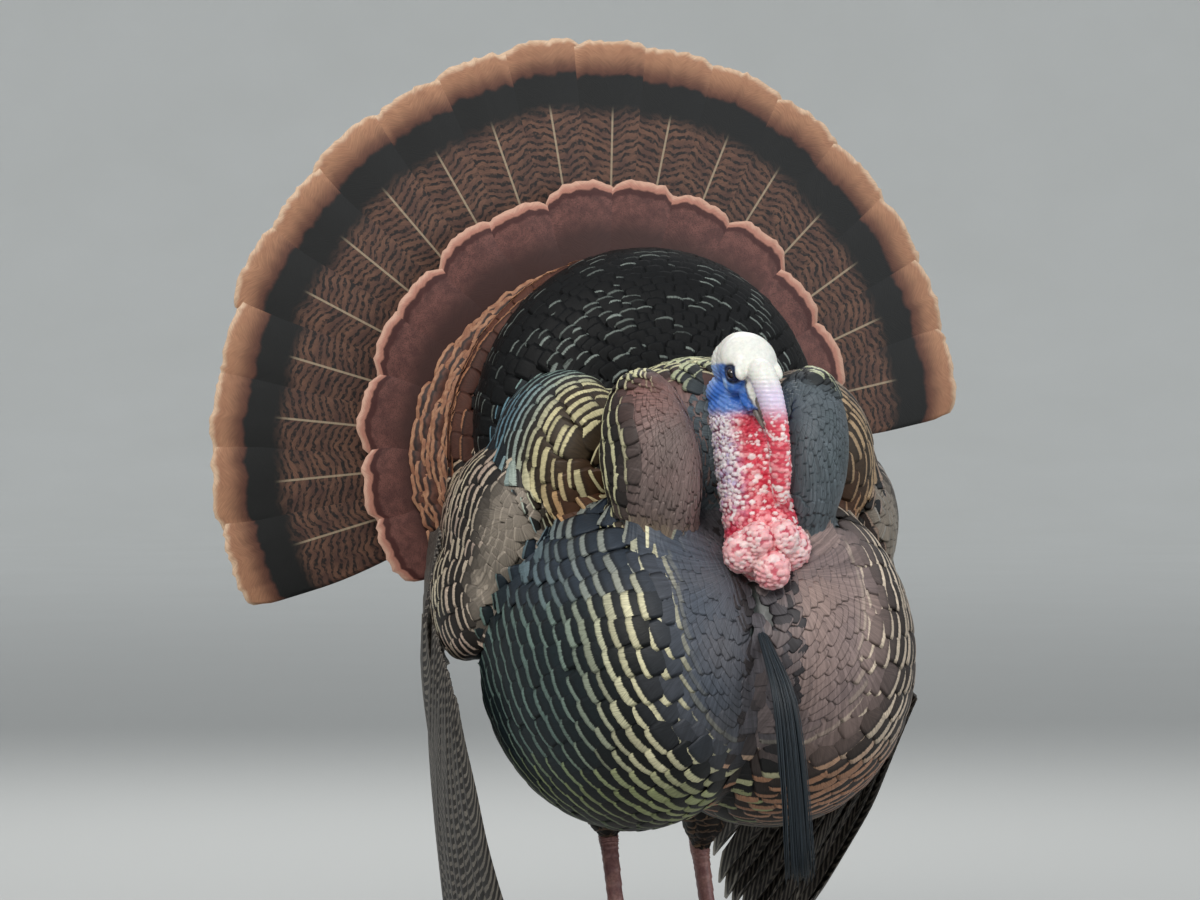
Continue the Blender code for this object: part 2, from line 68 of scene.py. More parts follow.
# ---------------------------------------------------------------- the bird's own axes
HEAD_TURN = (
    Matrix.Translation((0.008, -0.250, 0.654))
    @ Matrix.Rotation(math.radians(10.0), 4, "Z")
    @ Matrix.Rotation(math.radians(50.0), 4, "X")
)
EYE_AT = Vector((0.0222, -0.0130, 0.0050))
EYE_RADIUS = 0.0062


def centre_of(node):
    low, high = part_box(node)
    return (Vector(low) + Vector(high)) / 2


SHIFT = centre_of("eye_left") - HEAD_TURN @ EYE_AT
HEAD = Matrix.Translation(SHIFT) @ HEAD_TURN
TAIL_ROOT = SHIFT + Vector((0.008, 0.140, 0.565))
TAIL_ROLL = math.radians(14.0)


def placed(*xyz):
    """A point given from the bird's own middle, in the frame."""
    return SHIFT + Vector(xyz)


def mirrored(point, side):
    return Vector((point[0] * SIDES[side], point[1], point[2]))


# ---------------------------------------------------------------- colours
def tone(red, green, blue):
    """Linear colour from three display values of 0 to 255."""
    return tuple(
        c / 12.92 if c <= 0.04045 else ((c + 0.055) / 1.055) ** 2.4
        for c in (red / 255, green / 255, blue / 255)
    )


BLACK = tone(13, 15, 18)
BLACK_GREEN = tone(20, 30, 27)
CREAM = tone(214, 208, 172)
RUST = tone(150, 92, 66)
SOOT = tone(30, 27, 26)


# ---------------------------------------------------------------- settings a user may change
def length_setting(name, description, default, low, high):
    return FloatProperty(
        name=name, description=description, default=default, min=low, max=high,
        subtype="DISTANCE", unit="LENGTH",
    )


def colour_setting(name, description, default):
    return FloatVectorProperty(
        name=name, description=description, default=default, min=0, max=1,
        subtype="COLOR", size=3,
    )


class TurkeyPlumage(bpy.types.PropertyGroup):
    coat_depth: length_setting(
        "Coat depth", "How far the skin lies below the tips of the body feathers",
        0.009, 0.002, 0.02)
    row_pitch: length_setting(
        "Row pitch", "Distance between two rows of breast feathers", 0.0105, 0.006, 0.02)
    seed: IntProperty(name="Seed", description="Seed of every random variation", default=7)
    tip_colour: colour_setting(
        "Tail tip", "Colour of the band at the tips of the tail feathers", tone(172, 126, 98))
    edge_colour: colour_setting(
        "Breast edge", "Colour of the pale edges of the breast feathers", CREAM)


class TurkeyHead(bpy.types.PropertyGroup):
    crown_colour: colour_setting("Crown", "Colour of the crown", tone(236, 236, 228))
    face_colour: colour_setting("Face", "Colour of the skin below the eye", tone(58, 112, 198))
    throat_colour: colour_setting(
        "Throat", "Colour of the throat between its warts", tone(196, 30, 58))
    wart_height: length_setting(
        "Wart height", "How far the warts of the throat stand out", 0.0017, 0, 0.005)


# ---------------------------------------------------------------- small tools
def smoothstep(low, high, x):
    t = np.clip((np.asarray(x, float) - low) / (high - low), 0.0, 1.0)
    return t * t * (3 - 2 * t)


def blend_colours(a, b, t):
    """Colour a turning into b as t goes from 0 to 1; each may be one value or one per point."""
    t = np.clip(np.asarray(t, float), 0, 1)[..., None]
    return np.asarray(a) * (1 - t) + np.asarray(b) * t


def layered(colour, *layers):
    """The colour with others laid over it in turn, each given with its share."""
    for over, share in layers:
        colour = blend_colours(colour, over, share)
    return colour


def unit(v):
    return v / np.maximum(np.linalg.norm(v, axis=-1, keepdims=True), 1e-9)


def link(name, mesh):
    obj = bpy.data.objects.new(name, mesh)
    bpy.context.scene.collection.objects.link(obj)
    return obj


def discard(obj):
    mesh = obj.data
    bpy.data.objects.remove(obj)
    if mesh and mesh.users == 0:
        bpy.data.meshes.remove(mesh)


def plain(obj):
    """Turns what the modifiers make into obj's own mesh."""
    graph = bpy.context.evaluated_depsgraph_get()
    mesh = bpy.data.meshes.new_from_object(obj.evaluated_get(graph))
    old = obj.data
    obj.modifiers.clear()
    obj.data = mesh
    bpy.data.meshes.remove(old)
    return obj


def read(items, field, width, kind=np.float32):
    """One field of many items, a row of numbers for each."""
    values = np.empty(len(items) * width, kind)
    items.foreach_get(field, values)
    return values.reshape(-1, width)


def flat(values):
    return np.ascontiguousarray(values, np.float32).reshape(-1)


def points_of(mesh):
    return read(mesh.vertices, "co", 3, float)


def normals_of(mesh):
    return read(mesh.vertex_normals, "vector", 3).astype(float)


def corners_of(mesh):
    """The vertex at each corner of each face."""
    return read(mesh.loops, "vertex_index", 1, np.int32)[:, 0]


def set_points(mesh, points):
    mesh.vertices.foreach_set("co", flat(points))
    mesh.update()


def add_numbers(mesh, name, values, kind="FLOAT", field="value"):
    """Keeps a number, or a row of numbers, at every vertex."""
    layer = mesh.attributes.get(name) or mesh.attributes.new(name, kind, "POINT")
    layer.data.foreach_set(field, flat(values))


def add_vectors(mesh, name, values):
    add_numbers(mesh, name, values, "FLOAT_VECTOR", "vector")


def add_colour(mesh, name, colours):
    rgba = np.ones((len(mesh.vertices), 4))
    rgba[:, :3] = colours
    add_numbers(mesh, name, rgba, "FLOAT_COLOR", "color")


def add_uv(mesh, name, per_corner):
    layer = mesh.uv_layers.get(name) or mesh.uv_layers.new(name=name)
    layer.uv.foreach_set("vector", flat(per_corner))


def shade_smooth(mesh):
    mesh.polygons.foreach_set("use_smooth", np.ones(len(mesh.polygons), bool))


def finish_piece(obj, material, slot, *nodes, smooth=True):
    """Gives a piece its finish, its body and the solids that it stands for; slot is not used."""
    if smooth:
        shade_smooth(obj.data)
    obj.data.materials.clear()
    obj.data.materials.append(material)
    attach(obj, "root")
    if nodes:
        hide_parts(*nodes)
    return obj


def tree_of(points):
    """Search tree over the points."""
    tree = KDTree(len(points))
    for i, point in enumerate(points):
        tree.insert(point, i)
    tree.balance()
    return tree


def noise3(points, scale, seed=0):
    """Smooth value noise of 0 to 1, the same on every run."""
    p = np.asarray(points, float) * scale + seed * 17.31
    cell = np.floor(p).astype(np.int64)
    f = p - cell
    f = f * f * (3 - 2 * f)

    def corner(dx, dy, dz):
        h = (cell[:, 0] + dx) * 73856093 ^ (cell[:, 1] + dy) * 19349663
        h ^= (cell[:, 2] + dz) * 83492791
        return ((h * 2654435761) & 0xFFFFFF) / float(0xFFFFFF)

    total = 0.0
    for step in product((0, 1), repeat=3):
        x, y, z = (f[:, k] if step[k] else 1 - f[:, k] for k in range(3))
        total = total + x * y * z * corner(*step)
    return total


def sheet_noise(x, y, z, seed=0):
    """Noise at the places of a grid; each of x, y and z may be a grid or one number."""
    places = np.stack(np.broadcast_arrays(x, y, z), axis=-1)
    return noise3(places.reshape(-1, 3), 1.0, seed).reshape(places.shape[:-1])


# ---------------------------------------------------------------- shader tools
class Wires:
    """A short way to put nodes into a tree and wire them up."""

    def __init__(self, tree):
        self.tree = tree

    def put(self, kind, values=None, **settings):
        made = self.tree.nodes.new(kind)
        for key, value in settings.items():
            setattr(made, key, value)
        for key, value in (values or {}).items():
            self.feed(made.inputs[key], value)
        return made

    def feed(self, socket, value):
        if isinstance(value, bpy.types.NodeSocket):
            self.tree.links.new(value, socket)
        elif isinstance(value, tuple) and len(value) == 3 and socket.type == "RGBA":
            socket.default_value = (*value, 1.0)
        else:
            socket.default_value = value

    def maths(self, operation, a, b=0.0, c=0.0):
        return self.put("ShaderNodeMath", {0: a, 1: b, 2: c}, operation=operation).outputs[0]

    def product(self, a, b):
        return self.maths("MULTIPLY", a, b)

    def step(self, low, high, value, start=0.0, end=1.0):
        made = self.put(
            "ShaderNodeMapRange",
            {"Value": value, "From Min": low, "From Max": high, "To Min": start, "To Max": end},
            interpolation_type="SMOOTHSTEP",
        )
        return made.outputs["Result"]

    def mix(self, share, a, b, way="MIX"):
        made = self.put("ShaderNodeMix", data_type="RGBA", blend_type=way)
        self.feed(made.inputs[0], share)
        self.feed(made.inputs[6], a)
        self.feed(made.inputs[7], b)
        return made.outputs[2]

    def layered(self, colour, *layers):
        """The colour with others laid over it in turn, each given with its share."""
        for over, share in layers:
            colour = self.mix(share, colour, over)
        return colour

    def attribute(self, name, output="Color"):
        return self.put("ShaderNodeAttribute", attribute_name=name).outputs[output]

    def place(self):
        return self.put("ShaderNodeTexCoord").outputs["Object"]

    def noise(self, vector, scale, detail=2.0, roughness=0.5):
        values = {"Vector": vector, "Scale": scale, "Detail": detail, "Roughness": roughness}
        return self.put("ShaderNodeTexNoise", values).outputs["Fac"]

    def vector(self, x, y, z=0.0):
        return self.put("ShaderNodeCombineXYZ", {0: x, 1: y, 2: z}).outputs[0]

    def vane_map(self):
        """Places across and along one feather, each of 0 to 1."""
        uv = self.put("ShaderNodeUVMap", uv_map="Vane").outputs[0]
        return self.put("ShaderNodeSeparateXYZ", {0: uv}).outputs

    def shaded(self, shader, colour, shade):
        """Feeds the shader a colour made lighter or darker by a value round 1."""
        grey = self.put("ShaderNodeCombineColor", {0: shade, 1: shade, 2: shade}).outputs[0]
        self.feed(shader.inputs["Base Color"], self.mix(1.0, colour, grey, "MULTIPLY"))

    def relief(self, shader, height, strength, distance, invert=False):
        values = {"Height": height, "Strength": strength, "Distance": distance}
        bump = self.put("ShaderNodeBump", values, invert=invert)
        self.feed(shader.inputs["Normal"], bump.outputs[0])


def new_group(name, inputs, outputs):
    tree = bpy.data.node_groups.new(name, "ShaderNodeTree")
    for label, default in inputs:
        socket = tree.interface.new_socket(label, in_out="INPUT", socket_type="NodeSocketFloat")
        socket.default_value = default
    for label in outputs:
        tree.interface.new_socket(label, in_out="OUTPUT", socket_type="NodeSocketFloat")
    wires = Wires(tree)
    return tree, wires, wires.put("NodeGroupInput").outputs, wires.put("NodeGroupOutput")


def new_material(name, roughness, metallic=0.0, **constants):
    """A Principled material: (material, its wires, the shader node)."""
    material = bpy.data.materials.new(name)
    material.use_nodes = True
    shader = material.node_tree.nodes["Principled BSDF"]
    shader.inputs["Roughness"].default_value = roughness
    shader.inputs["Metallic"].default_value = metallic
    for label, value in constants.items():
        shader.inputs[label.replace("_", " ")].default_value = value
    return material, Wires(material.node_tree), shader


def barb_group():
    """Fine barbs that run out and forwards from the quill of one feather."""
    tree, w, given, out = new_group(
        "Barbs", [("Grain", 0.0), ("Fineness", 26.0)], ["Tone", "Height"])
    across, along = w.vane_map()[:2]
    side = w.maths("ABSOLUTE", w.maths("SUBTRACT", across, 0.5))
    slant = w.maths("MULTIPLY_ADD", along, -0.35, side)
    run = w.product(slant, given["Fineness"])
    where = w.vector(run, w.product(along, 2.2), w.product(given["Grain"], 37.0))
    fine = w.noise(where, 1.0, 3.0, 0.65)
    w.feed(out.inputs["Tone"], w.step(0.25, 0.75, fine, 0.70, 1.30))
    w.feed(out.inputs["Height"], fine)
    return tree


DARK_BAND = 0.78  # how dark a body feather turns just before its pale tip
TIP_SOFTNESS = 0.022  # half the width, in feather lengths, over which the pale tip sets in


def contour_material(name, barbs, roughness, metallic, gloss):
    """Body feather: dark before the tip, pale along it, finely streaked."""
    material, w, shader = new_material(name, roughness, metallic, Specular_IOR_Level=gloss)
    marks = w.put(
        "ShaderNodeGroup", {"Grain": w.attribute("grain", "Fac")}, node_tree=barbs).outputs
    calm = w.attribute("calm", "Fac")
    # Where the plumage is calm, long streaks run through it and each feather's own fade.
    lanes = w.noise(w.attribute("flow", "Vector"), 1.0, 3.0, 0.7)
    quiet = w.maths("MULTIPLY_ADD", calm, -0.75, 1.0)
    streaks = w.maths("MULTIPLY_ADD", w.step(0.28, 0.72, lanes, -0.36, 0.36), calm, 1.0)
    barb_tones = w.maths("MULTIPLY_ADD", w.maths("SUBTRACT", marks["Tone"], 1.0), quiet, 1.0)
    height = w.maths("MULTIPLY_ADD", lanes, calm, w.product(marks["Height"], quiet))
    wander = w.maths("MULTIPLY_ADD", marks["Tone"], 0.06, -0.06)
    along = w.maths("ADD", w.vane_map()[1], wander)
    past_tip = w.maths("SUBTRACT", along, w.maths("SUBTRACT", 1.0, w.attribute("rim", "Fac")))
    pale = w.step(-TIP_SOFTNESS, TIP_SOFTNESS, past_tip)
    band = w.product(w.step(-0.17, -0.02, past_tip), DARK_BAND)
    band = w.product(band, w.maths("SUBTRACT", 1.0, calm))
    base = w.attribute("base_tint")
    colour = w.layered(
        base, (w.mix(0.12, tone(6, 7, 8), base), band), (w.attribute("edge_tint"), pale))
    w.shaded(shader, colour, w.product(streaks, barb_tones))
    w.relief(shader, height, 0.5, 0.0008)
    return material


# ---------------------------------------------------------------- flesh under the coat
def form(x, y, z, across, along, high, turn=0.0):
    """An ellipsoid of flesh from the bird's own middle: (centre, radii, degrees round Y)."""
    return (x, y, z), (across, along, high), turn


HIP = Vector((0.062, -0.035, 0.300))
HOCK = {"right": Vector((0.042, 0.000, 0.184)), "left": Vector((0.070, 0.040, 0.168))}
FOOT = {"right": Vector((0.044, -0.062, 0.016)), "left": Vector((0.072, -0.012, 0.016))}
THIGH_STEPS = 7


def thigh_forms():
    """Flattened balls that shrink from the hip to the hock of each leg."""
    forms = []
    for side in SIDES:
        hip, hock = mirrored(HIP, side), mirrored(HOCK[side], side)
        for i in range(THIGH_STEPS + 1):
            t = i / THIGH_STEPS
            r = 0.062 * (1 - t) ** 0.8 + 0.0135
            forms.append(form(*hip.lerp(hock, t * 0.96), r * 0.8, r, 0.024 * (1 - 0.5 * t)))
    return forms


WING_FORMS = (
    (0.178, -0.070, 0.492, 0.052, 0.100, 0.086),
    (0.206, -0.050, 0.425, 0.034, 0.072, 0.066),
    (0.160, 0.030, 0.485, 0.042, 0.080, 0.075),
)
GROUPS = {
    "breast": [
        form(-0.070, -0.135, 0.370, 0.139, 0.205, 0.170),
        form(0.070, -0.135, 0.370, 0.139, 0.205, 0.170),
        form(0.0, -0.050, 0.430, 0.170, 0.200, 0.170),
        form(0.0, 0.040, 0.380, 0.145, 0.120, 0.125),
        form(0.0, 0.060, 0.490, 0.110, 0.066, 0.110),
    ],
    "shoulder": [form(s * 0.124, -0.100, 0.560, 0.072, 0.092, 0.092) for s in (-1, 1)],
    "collar": [
        form(-0.082, -0.236, 0.560, 0.052, 0.066, 0.098, -8.0),
        form(0.070, -0.236, 0.560, 0.050, 0.066, 0.098, 8.0),
        form(-0.006, -0.150, 0.570, 0.100, 0.085, 0.095),
    ],
    "mantle": [form(0.0, 0.005, 0.590, 0.186, 0.095, 0.185)],
    "rump": [form(0.008, 0.076, 0.565, 0.200, 0.045, 0.205, -14.0)],
    "undertail": [
        form(0.008, 0.193, 0.535, 0.150, 0.034, 0.170, -14.0),
        form(0.0, 0.135, 0.430, 0.105, 0.070, 0.100),
    ],
    "wing": [form(s * x, *rest) for s in (-1, 1) for x, *rest in WING_FORMS],
    "thigh": thigh_forms(),
}
# Colour of the skin, and of the ground between the feathers, in each group.
GROUND = {
    "breast": BLACK_GREEN,
    "shoulder": tone(34, 32, 28),
    "collar": tone(62, 55, 54),
    "mantle": BLACK,
    "rump": RUST,
    "undertail": tone(46, 33, 29),
    "wing": tone(84, 76, 66),
    "thigh": SOOT,
}
FLESH_NODES = [
    "trunk", "neck_collar", "mantle", "rump", "undertail", "wing_coverts_right",
    "wing_coverts_left", "thigh_right", "thigh_left", "head", "throat", "caruncles", "snood",
]
BODY_CELL = 0.0060  # how coarsely the feathered body's flesh is melted together
HEAD_CELL = 0.0013


def nearness(points, forms):
    """How far each point is from the nearest of the forms, in metres: under 0 is inside."""
    best = np.full(len(points), 1e9)
    for centre, radii, turn in forms:
        rel = np.asarray(points) - np.array(placed(*centre))
        a = math.radians(turn)
        x = rel[:, 0] * math.cos(a) - rel[:, 2] * math.sin(a)
        z = rel[:, 0] * math.sin(a) + rel[:, 2] * math.cos(a)
        size = np.linalg.norm(np.stack([x, rel[:, 1], z], axis=1) / np.array(radii), axis=1)
        best = np.minimum(best, (size - 1) * min(radii))
    return best


def depths_of(points):
    return {name: nearness(points, forms) for name, forms in GROUPS.items()}


def lead(depths, group):
    """Metres by which the group's form is nearer than any other."""
    others = [depth for name, depth in depths.items() if name != group]
    return np.min(others, axis=0) - depths[group]


def ball_grid(around, rings):
    """Points and faces of a ball of radius 1."""
    tilt = np.linspace(0, math.pi, rings + 1)[1:-1, None]
    turn = np.linspace(0, 2 * math.pi, around, endpoint=False)[None]
    body = np.stack(
        [np.sin(tilt) * np.cos(turn), np.sin(tilt) * np.sin(turn), np.cos(tilt) + 0 * turn], -1)
    points = np.vstack([body.reshape(-1, 3), [[0, 0, 1], [0, 0, -1]]])
    index = np.arange((rings - 1) * around).reshape(rings - 1, around)
    after = np.roll(index, -1, axis=1)
    quads = np.stack([index[:-1], index[1:], after[1:], after[:-1]], -1).reshape(-1, 4)
    top, foot = len(points) - 2, len(points) - 1
    caps = [(top, a, b) for a, b in zip(index[0], after[0])]
    caps += [(foot, b, a) for a, b in zip(index[-1], after[-1])]
    return points, [tuple(map(int, f)) for f in quads] + [tuple(map(int, f)) for f in caps]


def melt(name, forms, cell, soften):
    """One closed soft form from ellipsoids: (centre, radii, Euler turn)."""
    unit_points, unit_faces = ball_grid(40, 26)
    points, faces = [], []
    for i, (centre, radii, turn) in enumerate(forms):
        spin = np.array(Euler(turn).to_matrix())
        points.append((unit_points * np.array(radii)) @ spin.T + np.array(centre))
        start = i * len(unit_points)
        faces += [tuple(k + start for k in face) for face in unit_faces]
    mesh = bpy.data.meshes.new(name)
    mesh.from_pydata(np.vstack(points), [], faces)
    obj = link(name, mesh)
    fuse = obj.modifiers.new("fuse", "REMESH")
    fuse.mode = "VOXEL"
    fuse.voxel_size = cell
    soft = obj.modifiers.new("soft", "SMOOTH")
    soft.iterations = soften
    soft.factor = 0.5
    return plain(obj)


def body_flesh(depth):
    """The feathered body, with its forms drawn in by the depth of the coat."""
    forms = []
    for group in GROUPS.values():
        for centre, radii, turn in group:
            inset = min(depth, 0.3 * min(radii))
            small = tuple(r - inset for r in radii)
            forms.append((tuple(placed(*centre)), small, (0, math.radians(turn), 0)))
    return melt("body_flesh", forms, BODY_CELL, 14)


# ---------------------------------------------------------------- bare head and throat
THROAT_TOP = placed(0.010, -0.222, 0.628)
THROAT_FOOT = placed(0.018, -0.268, 0.490)
THROAT_STEPS = 9
SNOOD_PATH = [  # places along the snood, with its radius there
    (HEAD @ Vector((0.001, -0.020, 0.0130)), 0.0115),
    (placed(0.0070, -0.2930, 0.6480), 0.0128),
    (placed(0.0110, -0.3020, 0.6300), 0.0128),
    (placed(0.0150, -0.3075, 0.6080), 0.0114),
    (placed(0.0190, -0.3080, 0.5800), 0.0104),
    (placed(0.0220, -0.3050, 0.5520), 0.0098),
    (placed(0.0235, -0.3010, 0.5300), 0.0072),
]
LOBES = [  # middles and radii of the fleshy lobes at the throat's foot
    ((-0.012, -0.290, 0.476), 0.0172),
    ((0.038, -0.288, 0.480), 0.0188),
    ((0.014, -0.303, 0.460), 0.0165),
    ((0.000, -0.300, 0.488), 0.0145),
    ((0.026, -0.302, 0.490), 0.0145),
    ((0.012, -0.274, 0.472), 0.0220),
]


def eye_place(s):
    """Middle of one eyeball, in the head's own frame."""
    return np.array([s * EYE_AT.x, EYE_AT.y, EYE_AT.z])


def curve_through(points, values, count):
    """Catmull-Rom points through the given ones, with their radii."""
    p = np.array([tuple(q) for q in points], float)
    r = np.array(values, float).reshape(len(p), -1)
    both = np.hstack([p, r])
    ends = np.vstack([2 * both[0] - both[1], both, 2 * both[-1] - both[-2]])
    out = []
    for t in np.linspace(0, len(p) - 1, count):
        i = min(int(t), len(p) - 2)
        f = t - i
        a, b, c, d = ends[i : i + 4]
        out.append(
            0.5 * (2 * b + (c - a) * f + (2 * a - 5 * b + 4 * c - d) * f**2
                   + (3 * b - a - 3 * c + d) * f**3)
        )
    out = np.array(out)
    return out[:, :3], out[:, 3:]


def snood_curve():
    points, radii = zip(*SNOOD_PATH)
    return curve_through(points, radii, 60)


def head_flesh():
    """Bare head, throat and caruncles as one closed form, before its folds and warts."""
    on_head = [
        ((0.0, 0.004, 0.000), (0.0272, 0.0325, 0.0260), 0),
        ((0.0, 0.002, 0.007), (0.0285, 0.0295, 0.0215), 0),
        ((0.0, -0.029, -0.003), (0.0150, 0.0200, 0.0165), 0),
        ((0.0, 0.012, -0.014), (0.0240, 0.0280, 0.0220), 0),
    ]
    for s in (-1, 1):
        on_head += [
            ((s * 0.0190, -0.014, 0.0130), (0.0070, 0.0140, 0.0060), math.radians(10 * s)),
            ((s * 0.0160, -0.011, -0.0080), (0.0090, 0.0140, 0.0100), 0),
            (eye_place(s), (0.0071, 0.0092, 0.0078), 0),
            ((s * 0.0095, -0.036, -0.0075), (0.0060, 0.0120, 0.0052), 0),
        ]
    forms = []
    for centre, radii, turn in on_head:
        spin = HEAD.to_3x3() @ Euler((0, 0, turn)).to_matrix()
        forms.append((HEAD @ Vector(centre), radii, spin.to_euler()))
    straight = (0, 0, 0)
    for i in range(THROAT_STEPS + 1):
        t = i / THROAT_STEPS
        radius = 0.0305 + 0.0055 * t
        forms.append((THROAT_TOP.lerp(THROAT_FOOT, t), (radius, radius, 0.022), straight))
    for centre, radius in LOBES:
        forms.append((placed(*centre), (radius, radius, radius * 1.12), straight))
    path, radii = snood_curve()
    for at, radius in zip(path, radii[:, 0]):
        forms.append((at, (radius, radius, radius), straight))
    return melt("head_flesh", forms, HEAD_CELL, 3)


def finer_near(obj, spots, reach, cuts):
    """Splits the faces near the spots."""
    bm = bmesh.new()
    bm.from_mesh(obj.data)
    edges = set()
    for face in bm.faces:
        middle = face.calc_center_median()
        if any((middle - spot).length < reach for spot in spots):
            edges.update(face.edges)
    bmesh.ops.subdivide_edges(bm, edges=list(edges), cuts=cuts, use_grid_fill=True)
    bmesh.ops.triangulate(bm, faces=[f for f in bm.faces if len(f.verts) > 4])
    bm.to_mesh(obj.data)
    bm.free()


def moved_by(matrix, points):
    matrix = np.array(matrix)
    return np.asarray(points) @ matrix[:3, :3].T + matrix[:3, 3]


def head_local(points):
    return moved_by(HEAD.inverted(), points)


def head_world(points):
    return moved_by(HEAD, points)


def eye_axes(s):
    """Directions out of the eye, towards the bill and up, in the head's own frame."""
    out = np.array([s * 0.93, -0.30, 0.16])
    out /= np.linalg.norm(out)
    ahead = np.array([0.0, -0.94, -0.34])
    ahead -= out * ahead.dot(out)
    ahead /= np.linalg.norm(ahead)
    return out, ahead, np.cross(out, ahead) * -s


LID_GAP = (0.0060, 0.0042)  # half the length and half the height of the almond gap
LID_THICKNESS = 0.0010


def shape_lids(points):
    """Opens an almond gap over each eyeball and rolls a lid round it."""
    p = head_local(points)
    for s in (-1, 1):
        out, ahead, above = eye_axes(s)
        rel = p - eye_place(s)
        far = np.linalg.norm(rel, axis=1)
        gap = np.sqrt((rel @ ahead / LID_GAP[0]) ** 2 + (rel @ above / LID_GAP[1]) ** 2)
        open_radius = EYE_RADIUS - 0.0016
        roll = 0.0006 * np.exp(-(((gap - 1.25) / 0.22) ** 2))
        lid_radius = EYE_RADIUS + LID_THICKNESS + roll
        goal = open_radius + (lid_radius - open_radius) * smoothstep(0.93, 1.10, gap)
        share = 1 - smoothstep(1.5, 2.1, gap)
        crease = -0.0006 * np.exp(-(((gap - 1.75) / 0.16) ** 2))
        moved = far + (goal - far) * share + crease
        near = (far < 0.0135) & (rel @ out > -0.001) & (far > 1e-6)
        p[near] = p[near] + rel[near] * ((moved[near] - far[near]) / far[near])[:, None]
    return head_world(p)


def scatter(points, choice, gap_at, rng):
    """Indices of chosen points, no two nearer than the gap wanted there."""
    cell = 0.006
    taken, grid = [], {}
    for i in rng.permutation(np.nonzero(choice)[0]):
        p, gap = points[i], gap_at[i]
        x, y, z = (int(k) for k in p // cell)
        near = [
            j for dx, dy, dz in product((-1, 0, 1), repeat=3)
            for j in grid.get((x + dx, y + dy, z + dz), ())
        ]
        if all(((points[j] - p) ** 2).sum() >= gap * gap for j in near):
            grid.setdefault((x, y, z), []).append(i)
            taken.append(i)
    return taken


def throat_place(points):
    """Along the throat (0 at the jaw, 1 at its foot), and the way there from its axis."""
    top, foot = np.array(THROAT_TOP), np.array(THROAT_FOOT)
    axis = foot - top
    along = (points - top) @ axis / axis.dot(axis)
    return along, points - (top + np.clip(along, 0, 1)[:, None] * axis)


